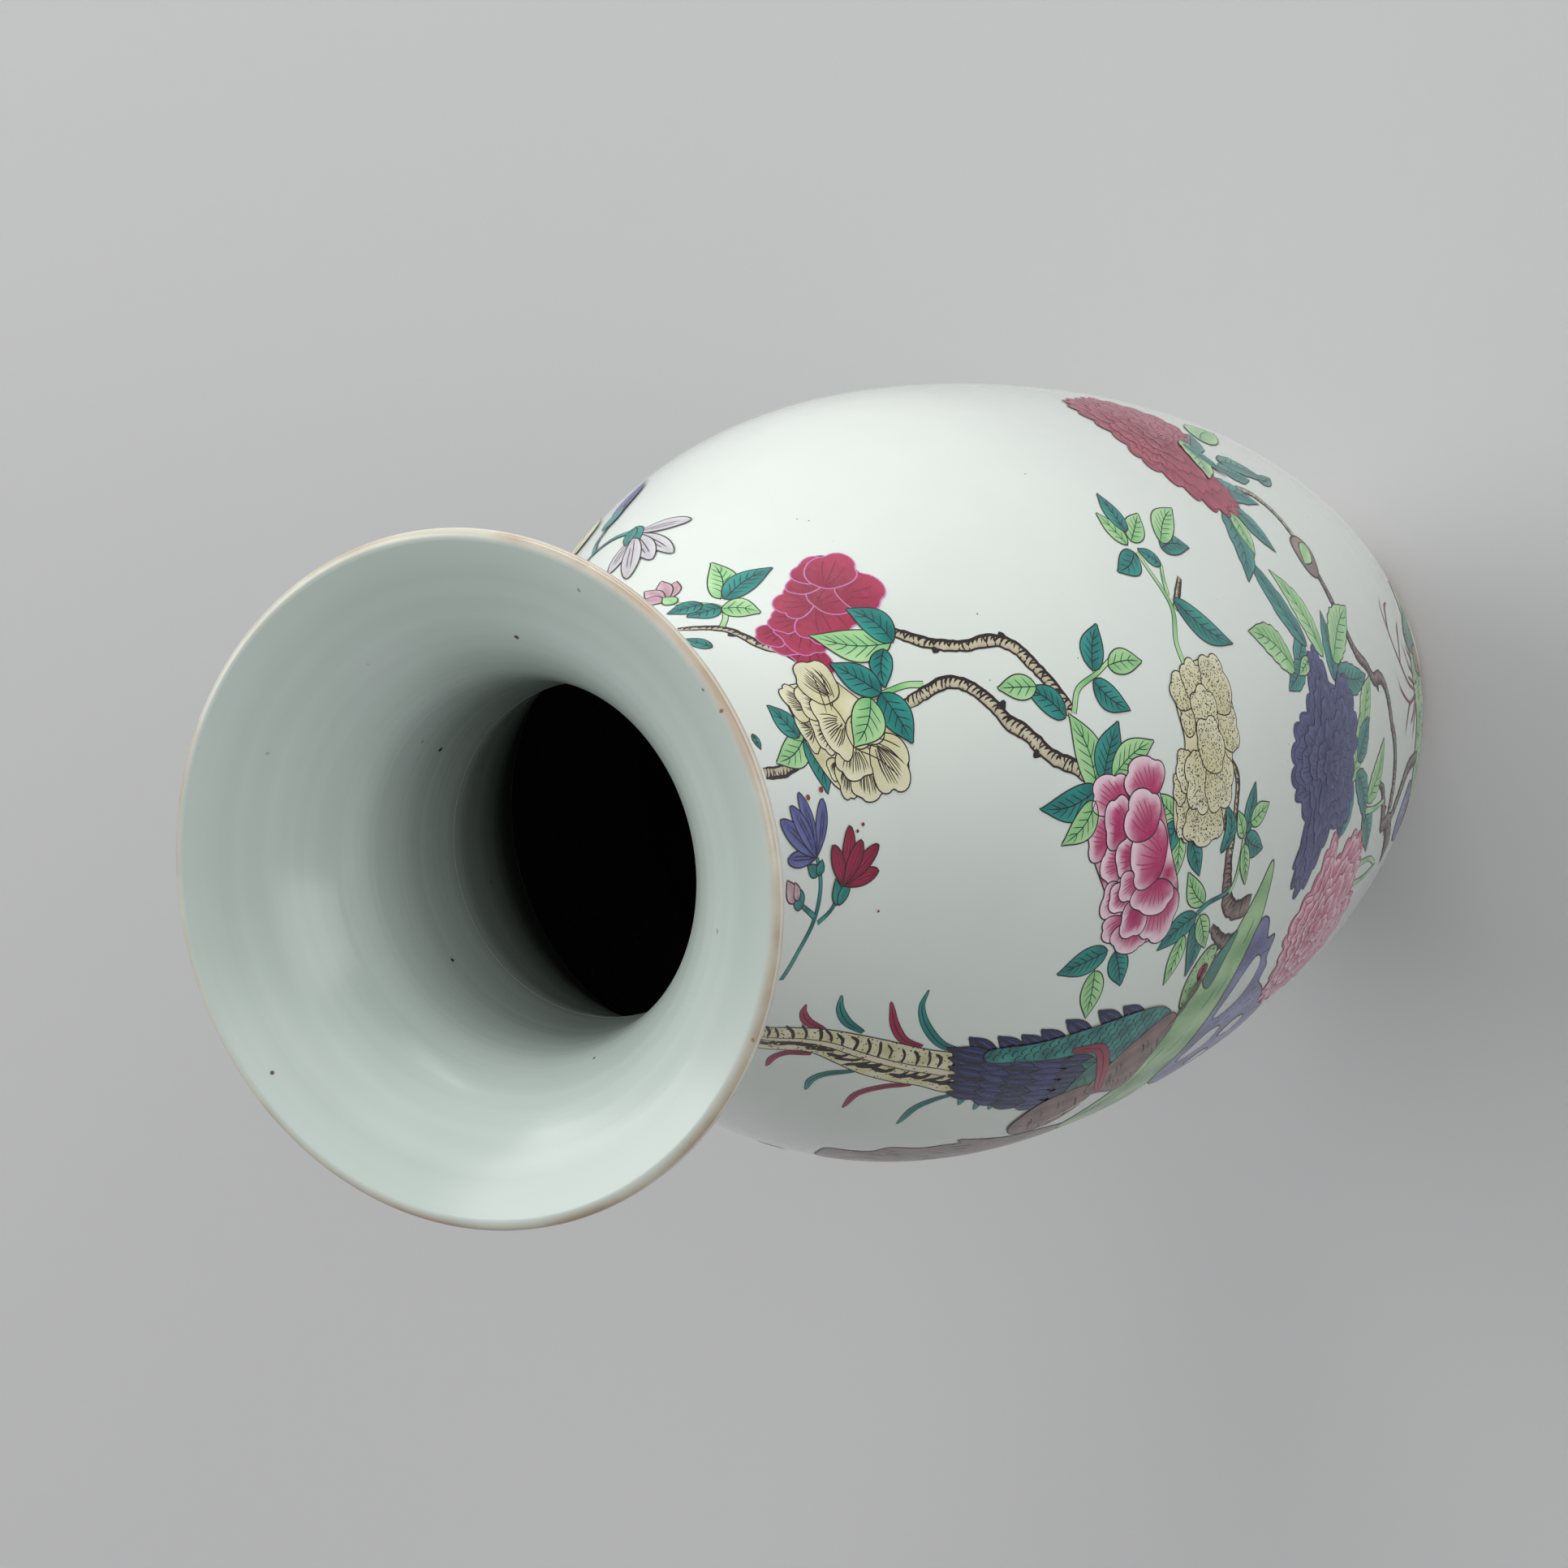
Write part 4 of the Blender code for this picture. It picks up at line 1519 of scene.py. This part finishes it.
def back_and_breast(motif):
    """Scaled teal back, brown breast, a crimson plume along the wing's edge and the feet."""
    draw = motif.random
    back = (
        (-106.6, 324), (-104, 326.4), (-100.4, 315), (-96.4, 303), (-93.4, 292), (-92, 284), (-92, 277),
        (-94, 272), (-99, 278), (-103, 285), (-101, 296), (-103, 306), (-105, 316),
    )
    scales = even_path(back, 1.4, closed=True)
    motif.up()
    fill(motif, scales, flat_tone("teal"))
    line(motif, "dark", scales, closed=True)
    scale_rows(motif, scales, (-106, -91, 274, 326))
    for loop, tone in (
        (((-112, 283), (-110.4, 289), (-105, 291), (-101.6, 288), (-103, 283), (-108, 280)), "deep"),
        (
            (
                (-122.6, 283), (-120, 291), (-113, 293), (-108.4, 286), (-108, 279), (-113, 275.4),
                (-119, 276),
            ),
            "earth",
        ),
        (
            (
                (-109.6, 281), (-104, 283), (-98, 280), (-93.4, 273), (-95, 267), (-102, 265.4),
                (-109.4, 263), (-110, 272),
            ),
            "earth",
        ),
    ):
        motif.up()
        path = even_path(loop, 1.4, closed=True)
        fill(motif, path, flat_tone(tone))
        line(motif, "dark", path, closed=True)
        for _ in range(16):
            turn, reach = path[draw.randrange(len(path))] * 0.55 + path.mean(0) * 0.45
            line(motif, "dark", ((turn, reach), (turn - 0.8, reach - 2), (turn - 1.9, reach - 3.6)), 0.3)
    motif.up()
    line(motif, "white", ((-118.4, 279.6), (-114, 277), (-109.6, 273.6)), 0.7)
    feather(motif, "crimson", ((-100.6, 302), (-99.8, 293), (-103, 286), (-108, 278), (-110, 273)), 3.2)
    for start in ((-96, 269), (-93, 268), (-90.6, 269)):
        line(motif, "brown", (start, (start[0] + 3, start[1] - 2.4), (start[0] + 5.4, start[1] - 2)), 1.0)


def scale_rows(motif, loop, box):
    """Rows of small round feather scales inside a loop, every other row shifted by half a scale."""
    scale = flat_scale((box[2] + box[3]) / 2)
    angles = np.radians((200, 235, 270, 305, 340))
    arc = np.stack([np.cos(angles) * 1.2 / scale[0], -np.sin(angles) * 1.4], -1)
    reach, shift = box[2], 0.0
    while reach < box[3]:
        turn = box[0] + shift
        while turn < box[1]:
            spot = np.array([(turn, reach)])
            within, away = inside(spot * scale, loop * scale)
            if within[0] and away[0] > 0.9:
                line(motif, "dark", spot + arc, 0.42, (0.7, 0.7))
            turn += 1.75
        reach += 2.1
        shift = SCALE_SHIFT - shift


def pheasant():
    """Long-tailed pheasant: barred tail, side plumes, dark wing, scaled back and brown breast."""
    motif = Motif("pheasant", level=3)
    side_plumes(motif)
    barred_tail(motif)
    dark_wing(motif)
    back_and_breast(motif)
    return motif


# ---------------------------------------------------------------------------------------------
# Painted side: rocks and the lower flowers
# ---------------------------------------------------------------------------------------------

def rock(motif, outline, tone, strokes=0, way=(0.4, -6.0), ink="dark"):
    """Rock or bank: cloudy enamel with a bold outline and broken strokes down its face."""

    def cloudy(x, y, rim):
        return tint(tone, 0.5 + 0.4 * np.sin(x * 0.45) + 0.3 * np.cos(y * 0.23 + x * 0.2))

    motif.up()
    loop = even_path(outline, 1.5, closed=True)
    fill(motif, loop, cloudy)
    line(motif, ink, loop, BOLD_LINE, closed=True)
    draw = motif.random
    scale = flat_scale(loop[:, 1].mean())
    low, high = loop.min(0), loop.max(0)
    for _ in range(strokes):
        start = np.array((draw.uniform(low[0], high[0]), draw.uniform(low[1], high[1])))
        move = np.array(way) * draw.uniform(0.5, 1.2)
        path = np.array((start, start + move / 2 + (0.2, 0.0), start + move))
        within, away = inside(path * scale, loop * scale)
        if within.all() and away.min() > 0.5:
            line(motif, ink, path, draw.uniform(0.3, 0.55), (0.5, 0.15))


def left_rocks():
    """Brown cliff, green ledge under the pheasant and the pierced blue garden rock."""
    motif = Motif("left_rocks")
    cliff = (
        (-152, 296), (-150, 304), (-146, 311), (-143, 308), (-140, 305), (-136, 306), (-133, 300),
        (-130, 297),
        (-128, 294), (-127, 297), (-125, 288), (-124, 282), (-121, 270), (-122, 256), (-130, 250),
        (-142, 256), (-152, 270),
    )
    rock(motif, cliff, "earth", 60, (1.5, -5.0))
    ledge = (
        (-122, 262), (-108, 264), (-98, 265.6), (-92, 267.6), (-87, 266), (-83, 261), (-84, 258),
        (-80, 256),
        (-76, 252), (-70.6, 245), (-78, 243), (-88, 241.6), (-94, 239), (-98, 237.6), (-108, 237),
        (-122, 239),
    )
    rock(motif, ledge, "moss", 26, (5.0, -1.5), ink="vein")
    rock(motif, ((-90, 258), (-85, 257), (-80.4, 256), (-84, 262), (-88, 264.4)), "deep", 0)
    moss = ((-93, 267), (-90, 272), (-86, 273), (-82.6, 270), (-82.4, 265), (-86, 264))
    rock(motif, moss, "moss", 0)
    dots(motif, "dark", (-93, -82, 264, 273), 60, 0.6, even_path(moss, 2.0, closed=True))
    rock(motif, ((-88, 266), (-87, 269), (-85.4, 268.6), (-85.6, 265.6)), "crimson", 0)
    pierced = (
        (-81, 243), (-80.4, 237), (-84, 232), (-84, 227), (-88, 225), (-90, 221), (-93, 219), (-95, 212),
        (-97, 206), (-100, 200), (-103, 190), (-112, 192), (-118, 205), (-116, 222), (-112, 238),
        (-104, 241), (-92, 244),
    )
    rock(motif, pierced, "slate", 40, (0.6, -5.0))
    for hole in (
        ((-98, 238), (-96, 229), (-92, 226.6), (-88, 229), (-87, 235), (-92, 238.4)),
        ((-108, 234), (-102, 232), (-101.4, 224), (-106, 222)),
        ((-105, 215), (-101.6, 213), (-102, 205.6), (-105.4, 206)),
        ((-112, 216), (-109, 214), (-110, 206), (-113, 207)),
    ):
        rock(motif, hole, "glaze", 0)
    return motif


def blue_peony():
    motif = Motif("blue_peony", level=2)
    leaves(
        motif,
        ("teal", -63, 190, -72, 199.4, 8.0, 0.1, 4),
        ("light", -63, 192, -52.6, 181, 8.0, -0.06, 6),
        ("teal", -62, 187, -71, 173.4, 7.8, 0.1, 4),
        ("teal", -60, 186, -54, 173.4, 7.4, 0.0, 4),
        ("light", -58, 181, -47.6, 166.4, 8.0, 0.1, 6),
        ("teal", -69, 176, -77, 162.4, 7.4, 0.08, 4),
        ("light", -67.4, 174, -58, 158.4, 8.4, -0.1, 6),
        ("light", -44, 226, -37, 247, 9.0, -0.1, 6),
        ("teal", -44, 224, -39, 212.4, 6.6, 0.0, 3),
        ("teal", -43.6, 219, -46.8, 233, 6.4, 0.0, 3),
        ("light", -43, 214, -45, 224, 4.2),
        ("teal", -41, 213, -24, 226.6, 8.0, 0.08, 4),
        ("light", -43, 203, -28.4, 216.4, 9.0, -0.06, 6),
        ("teal", -47, 199, -36, 193, 7.6, 0.0, 4),
        ("teal", -46, 195, -47.4, 170.4, 7.6, -0.06, 5),
        ("light", -44, 196, -36, 169.4, 9.6, 0.06, 7),
    )
    outline = (
        (-57.5, 237), (-52, 232.5), (-50, 224), (-46, 218), (-41.6, 212), (-43, 206), (-48, 202),
        (-46, 194), (-49, 187.6),
        (-56, 186), (-60, 190), (-66, 190), (-70.4, 196), (-69, 204), (-72, 210), (-77, 217),
        (-77.6, 224), (-73, 229.6),
        (-68, 227), (-64, 230), (-62, 235),
    )
    bloom(motif, outline, (-59, 211), "night", 5, 12, "violet", "violet", dense=9)
    return motif


def big_pink_peony():
    motif = Motif("big_pink_peony", level=1)
    for points in (
        ((-82, 170), (-82.6, 155), (-82, 140)),
        ((-78.5, 172), (-79, 155), (-81, 144)),
        ((-69, 174), (-69.4, 164), (-69, 154)),
    ):
        stem(motif, "light", points, 1.6)
    outline = (
        (-85, 216.6), (-80, 213), (-77, 208), (-72, 203.6), (-70.6, 198), (-75, 194), (-72, 184),
        (-73, 174), (-78, 167),
        (-83, 165), (-86, 158), (-94, 158), (-98, 166), (-100, 175), (-101, 190), (-99, 202),
        (-94, 208), (-89, 212),
    )
    bloom(motif, outline, (-87, 192), "pink", 5, 11, "rose", "rose", edge=TONES["rose"][1], dense=7)
    return motif


def red_peony():
    """Red peony high on the right with its leaves, the knotted shoot and the trunk that carries it."""
    motif = Motif("red_peony", level=1)
    branch(motif, ((-13.5, 195), (-15, 188), (-19, 183), (-24, 182)), 2.2, 2.4)
    branch(
        motif,
        (
            (-24, 182), (-31, 181), (-38, 179), (-43.5, 175), (-46, 168), (-48.5, 163), (-48.5, 156),
            (-51, 151), (-57.5, 148),
        ),
        2.6, 3.4, "bark", thorns=((0.3, 1), (0.7, -1)),
    )
    branch(motif, ((-57, 148), (-60, 145), (-66, 143), (-72, 143)), 3.2, 4.0, "bark")
    trunk = ((-65.4, 162.6), (-67, 157), (-71, 152), (-74, 148), (-73.6, 142), (-77, 135), (-82, 126))
    branch(motif, trunk, 1.6, 6.4, "bark", thorns=((0.35, 1), (0.6, -1)))
    branch(motif, ((-74, 138), (-69, 128), (-66.5, 120), (-66, 110), (-66.4, 98)), 4.0, 3.0, "bark")
    rock(motif, ((-30.6, 181), (-30, 187), (-27, 189), (-24, 187), (-23.4, 180), (-26, 175.6)), "bark", 4)
    blade(motif, (-25, 177), (-28.4, 187.4), 5.4, "light")
    leaves(
        motif,
        ("teal", -18, 219, -30, 233.4, 8.4, 0.08, 4),
        ("light", -18, 215, -26, 219.6, 6.4, 0.0, 4),
        ("teal", -17, 211, -26, 204, 7.4, 0.0, 4),
        ("teal", -13, 213, -17, 190.4, 8.0, 0.06, 4),
        ("teal", -9, 193, -11.6, 179, 6.8, 0.0, 3),
        ("teal", -4, 197, 0.6, 179.4, 7.4, 0.0, 4),
        ("teal", -7, 187, -11.6, 164, 7.0, 0.05, 4),
        ("light", -1, 178, 3.4, 149, 9.0, 0.05, 7),
        ("teal", -12, 171, -10.4, 157, 4.0),
    )
    outline = (
        (-6, 237), (-1, 233.4), (4, 231), (9, 227), (12.6, 219), (13.4, 208), (14.4, 196), (11, 187),
        (6, 180.6), (1, 183),
        (-2, 192), (-5, 201), (-11, 203.6), (-16, 205.6), (-18.6, 214), (-17, 225), (-13, 231), (-10, 234),
    )
    bloom(motif, outline, (-1, 212), "crimson", 5, 12, "dusky_line", "dusky_line", dense=8)
    leaves(
        motif,
        ("light", -2, 196, -11.6, 210, 7.4, 0.06, 4),
        ("teal", -3, 199, -11, 194.4, 5.6, 0.0, 3),
    )
    return motif


def meadow():
    """Pale green rocks at the foot of the scene, with rust-red grass."""
    motif = Motif("meadow")
    rock(
        motif, ((-82, 108), (-80, 118), (-76, 122), (-72, 116), (-70, 108), (-74, 100), (-82, 100)),
        "slate", 16,
    )
    bank = (
        (-84, 84), (-76, 96), (-70, 103), (-64, 106.6), (-58, 104), (-53, 106), (-47, 103), (-42, 97),
        (-37, 90), (-30, 80), (-36, 72),
        (-50, 68), (-66, 70), (-80, 74),
    )
    rock(motif, bank, "moss", 90, (0.2, -5.0), ink="vein")
    rock(motif, ((-46, 80), (-46, 98), (-43, 104.6), (-40, 98), (-38, 88), (-36, 80)), "deep", 16)
    rock(motif, ((-51, 78), (-50, 92), (-47.6, 95.6), (-45, 90), (-45, 78)), "earth", 12)
    motif.up()
    for points in (
        ((-54, 104), (-54.6, 118), (-52, 130), (-49, 134)),
        ((-54, 104), (-55, 118), (-57, 124), (-60, 129.4)),
        ((-53, 104), (-51, 117), (-46, 127), (-41, 131), (-37, 130), (-35, 125.6)),
        ((-47, 125), (-42, 117), (-39.6, 111)),
        ((-41, 131), (-37, 124), (-35.8, 117)),
        ((-56, 104), (-58, 110), (-61.6, 115.4)),
        ((-54, 104), (-57, 112), (-58.6, 118)),
        ((-50, 103), (-48, 110), (-43.6, 114.6)),
        ((-52, 104), (-51, 109), (-50, 115)),
        ((-47, 101), (-46, 105), (-44, 108.6)),
    ):
        line(motif, "rust", points, 0.8, (1.0, 0.1))
    return motif


# ---------------------------------------------------------------------------------------------
# Far side, which the photograph doesn't show: the same kinds of flowers, simply arranged
# ---------------------------------------------------------------------------------------------

def back_tree():
    motif = Motif("back_tree")
    trunk = (
        (156, 96), (150, 118), (152, 140), (144, 160), (134, 178), (131, 200), (138, 222), (146, 240),
        (143, 262), (132, 280),
    )
    upper = ((132, 278), (122, 290), (116, 304), (121, 318), (131, 330), (134, 344))
    left_arm = ((134, 178), (120, 186), (108, 184), (96, 194))
    right_arm = ((144, 240), (158, 248), (170, 246), (182, 258), (188, 272))
    branch(motif, right_arm, 3.4, 1.8, thorns=((0.4, 1),))
    branch(motif, left_arm, 3.6, 1.8, thorns=((0.5, -1),))
    branch(motif, upper, 3.0, 1.6, thorns=((0.6, -1),))
    branch(motif, trunk, 8.0, 3.0, "bark", thorns=((0.25, 1), (0.5, -1), (0.72, 1)))
    floor = motif.lift
    for points, count in (
        (((133, 342), (138, 352), (136, 366)), 5),
        (((118, 306), (106, 310), (96, 304)), 5),
        (((186, 268), (194, 278), (196, 292)), 5),
        (((170, 247), (178, 238), (190, 234)), 5),
        (((98, 193), (88, 202), (84, 216)), 5),
        (((150, 120), (164, 128), (174, 124)), 5),
        (((132, 200), (120, 210), (114, 222)), 4),
    ):
        motif.lift = floor
        stem(motif, "light", points, 1.3)
        leafy(motif, points, count, 11.0, 6.2)
    heads = (
        ((101, 180), 20, 25, "night", "violet", "violet", None, 11),
        ((160, 290), 22, 18, "rose", "rose", "rose", TONES["rose"][1], 9),
        ((117, 246), 15, 19, "cream", "dark", "dark", None, 8),
        ((178, 192), 24, 29, "crimson", "dusky_line", "dusky_line", None, 12),
        ((128, 334), 15, 12, "crimson", "dusky_line", "lilac", None, 8),
    )
    branch(motif, ((146, 241), (151, 230), (160, 218), (172, 206)), 2.8, 1.8)
    branch(motif, ((143, 262), (149, 272), (157, 282)), 2.4, 1.6)
    branch(motif, ((132, 210), (124, 220), (118, 236)), 2.4, 1.6)
    floor = motif.lift
    for centre, wide, tall, tone, ink, streak, edge, across in heads:
        motif.lift = floor
        wreath(motif, centre, motif.random.uniform(0, 6), 6, wide + 12, 8.6, hub=7.0, teeth=4)
        outline = ragged(motif, centre, wide, tall)
        bloom(motif, outline, centre, tone, 4, across, ink, streak, edge=edge, dense=5)
    return motif


def back_rocks():
    motif = Motif("back_rocks")
    far = ((186, 84), (188, 108), (193, 120), (199, 114), (206, 100), (208, 84))
    rock(motif, far, "slate", 24)
    bank = (
        (108, 80), (114, 92), (124, 104), (134, 100), (142, 108), (152, 104), (164, 110), (176, 100),
        (190, 96), (198, 84),
        (190, 74), (160, 68), (130, 70),
    )
    rock(motif, bank, "moss", 110, (0.2, -5.0), ink="vein")
    rock(motif, ((138, 76), (139, 96), (144, 103), (149, 94), (150, 76)), "deep", 14)
    rock(motif, ((168, 76), (169, 92), (173, 97), (178, 88), (178, 76)), "earth", 12)
    motif.up()
    for turn, height, lean in (
        (120, 24, -6), (122, 30, 2), (124, 22, 6), (160, 26, -5), (162, 32, 1), (165, 24, 6),
        (182, 22, 4),
    ):
        line(
            motif, "rust",
            ((turn, 98), (turn + lean * 0.3, 98 + height * 0.6), (turn + lean, 98 + height)), 0.8,
            (1.0, 0.1),
        )
    return motif


def back_neck_flowers():
    motif = Motif("back_neck_flowers")
    stem(motif, "teal", ((188, 372), (182, 384), (172, 392), (160, 396), (150, 400)), 1.3)
    stem(motif, "teal", ((172, 392), (166, 402), (162, 408)), 1.1)
    stem(motif, "teal", ((182, 384), (172, 380), (162, 380)), 1.1)
    leafy(motif, ((188, 372), (182, 384), (172, 392)), 4, 9.0, 5.0)
    blossom(motif, (150, 400), "blue", ((136, 396), (134, 404), (140, 411), (149, 412, 5.4)), 4.4)
    blossom(motif, (162, 380), "dusky", ((150, 374), (146, 381), (151, 388), (155, 369, 4.8)), 4.4, "rose")
    blossom(motif, (162, 407), "mauve", ((156, 415), (161, 417), (166, 415)), 3.4)
    return motif


def butterfly():
    """Small butterfly between the two scenes."""
    motif = Motif("butterfly")
    body = (66, 232)
    for tip_turn, tip_reach, width, tone in (
        (56, 246, 11, "cream"), (77, 247, 11, "cream"), (58, 222, 8, "rose"), (74, 222, 8, "rose"),
    ):
        place = blade(motif, body, (tip_turn, tip_reach), width, tone, blunt=1.6)
        for across in (-0.5, 0.0, 0.5):
            line(motif, "dark", place(np.array((0.15, 0.5, 0.8)), across), 0.3)
    blade(motif, (66, 222), (66, 240), 3.2, "earth", blunt=1.2)
    for lean in (-5, 5):
        line(motif, "dark", ((66, 239), (66 + lean * 0.4, 246), (66 + lean, 251)), 0.36)
    return motif


PAINTINGS = (
    neck_flowers,
    cream_peony,
    crimson_peony,
    right_twig,
    shoulder_branches,
    pink_peony,
    stippled_peony,
    left_trunks,
    left_rocks,
    pheasant,
    big_pink_peony,
    red_peony,
    blue_peony,
    meadow,
    back_tree,
    back_rocks,
    back_neck_flowers,
    butterfly,
)


# ---------------------------------------------------------------------------------------------
# Stage
# ---------------------------------------------------------------------------------------------

FLOOR_TONE = screen(191, 191, 192)
FLOOR_PALE = screen(196, 196, 197)
# Painted light: the backdrop is painted paler than the floor so that it looks as lit as the floor where little
# lamp light reaches it
BACKDROP_TONE = screen(238, 238, 239)
WORLD_TONE = screen(214, 216, 216)
WORLD_STRENGTH = 0.24

# The floor turns up into a round backdrop, far behind the vase; metres
SWEEP_START = 2.4
SWEEP_RADIUS = 2.4
SWEEP_HEIGHT = 4.4
SWEEP_TURN = 3.75           # degrees between its points
BACKDROP_FROM = 0.9         # height where it has its own tone

LIGHT_AIM = Vector((0.0, 0.0, 0.25))

# Square soft lights aimed at the middle of the vase: turn round the axis from +X, angle above the floor,
# distance, width, height, power, and colour
LIGHTS = {
    "window_light": (30.0, 8.0, 2.5, 1.5, 0.6, 26.0, (1.0, 0.995, 0.985)),
    "high_light": (30.0, 60.0, 2.2, 1.4, 1.4, 7.0, WHITE),
    "side_light": (95.0, 35.0, 2.2, 1.4, 1.4, 25.0, WHITE),
    "fill_light": (-40.0, 35.0, 2.2, 1.4, 1.4, 14.5, WHITE),
}
CEILING_POWER = 0.3
CEILING_SPREAD = 80
CEILING_TILT = (8, -6, 0)


def sweep_profile():
    """The floor from its middle outwards and up the backdrop, as (radius, height)."""
    profile = [(SWEEP_START * share, 0.0) for share in (0.02, 0.2, 0.5, 1.0)]
    for angle in np.radians(np.linspace(0, 90, 19)[1:]):
        profile.append((SWEEP_START + SWEEP_RADIUS * math.sin(angle), SWEEP_RADIUS * (1 - math.cos(angle))))
    return profile + [(SWEEP_START + SWEEP_RADIUS, SWEEP_HEIGHT)]


def studio_floor():
    finish = Finish("studio_floor", 0.85)
    paper = finish.ramp(finish.noise(0.6, 2.0), (0.3, FLOOR_TONE), (0.7, FLOOR_PALE))
    # painted light: from this height up the backdrop takes the paler tone, making up for the light that
    # doesn't reach it
    backdrop_painted_light = finish.ramp(finish.height(), (0.0, BLACK), (BACKDROP_FROM, WHITE))
    finish.colour(finish.mix(backdrop_painted_light, paper, BACKDROP_TONE))
    profile = sweep_profile()
    turns = np.radians(np.arange(0, 360, SWEEP_TURN))
    points = [(out * math.cos(turn), out * math.sin(turn), up) for out, up in profile for turn in turns]
    count = len(turns)
    faces = [tuple(range(count))]
    for ring in range(len(profile) - 1):
        for step in range(count):
            here, after = ring * count + step, ring * count + (step + 1) % count
            faces.append((here, here + count, after + count, after))
    mesh = bpy.data.meshes.new("studio_floor")
    mesh.from_pydata(points, [], faces)
    mesh.shade_smooth()
    mesh.materials.append(finish.material)
    staged("studio_floor", mesh)


def staged(name, data):
    """Puts a mesh or a light into the scene as part of the stage."""
    thing = bpy.data.objects.new(name, data)
    bpy.context.scene.collection.objects.link(thing)
    return thing


def soft_light(name, azimuth, elevation, distance, width, height, power, colour):
    turn, lift = math.radians(azimuth), math.radians(elevation)
    way = Vector((math.cos(turn) * math.cos(lift), math.sin(turn) * math.cos(lift), math.sin(lift)))
    lamp = bpy.data.lights.new(name, "AREA")
    lamp.shape = "RECTANGLE"
    lamp.size = width
    lamp.size_y = height
    lamp.energy = power
    lamp.color = colour
    light = staged(name, lamp)
    light.location = LIGHT_AIM + way * distance
    light.rotation_euler = (-way).to_track_quat("-Z", "Y").to_euler()


def ceiling_light():
    """Even, weak light from the whole ceiling."""
    lamp = bpy.data.lights.new("ceiling_light", "SUN")
    lamp.energy = CEILING_POWER
    lamp.angle = math.radians(CEILING_SPREAD)
    staged("ceiling_light", lamp).rotation_euler = [math.radians(angle) for angle in CEILING_TILT]


def studio():
    studio_floor()
    for name, values in LIGHTS.items():
        soft_light(name, *values)
    ceiling_light()
    world = bpy.data.worlds.new("studio_world")
    world.use_nodes = True
    sky = world.node_tree.nodes["Background"]
    sky.inputs["Color"].default_value = (*WORLD_TONE, 1.0)
    sky.inputs["Strength"].default_value = WORLD_STRENGTH
    bpy.context.scene.world = world
    bpy.context.scene.view_settings.view_transform = "Standard"


# The photograph's camera: place in millimetres, its own axes, focal length and sensor in millimetres
CAMERA_PLACE = (316.5, -316.5, 1144.4)
CAMERA_RIGHT = (0.4341, -0.7752, -0.4589)
CAMERA_UP = (0.8381, 0.5343, -0.1099)
CAMERA_BACK = (0.3304, -0.3369, 0.8817)
CAMERA_LENS = 94.5
CAMERA_SENSOR = 36.0
CAMERA_NEAR = 0.05


def camera():
    """The photograph's view: from above, over the edge of the mouth, with the body to the right."""
    lens = bpy.data.cameras.new("photo_camera")
    lens.lens = CAMERA_LENS
    lens.sensor_width = CAMERA_SENSOR
    lens.clip_start = CAMERA_NEAR
    view = bpy.data.objects.new("photo_camera", lens)
    turned_to = Matrix((CAMERA_RIGHT, CAMERA_UP, CAMERA_BACK)).transposed().to_4x4()
    view.matrix_world = Matrix.Translation(Vector(CAMERA_PLACE) * MM) @ turned_to
    bpy.context.scene.collection.objects.link(view)
    bpy.context.scene.camera = view


porcelain()
finish_motifs([paint() for paint in PAINTINGS])
studio()
camera()
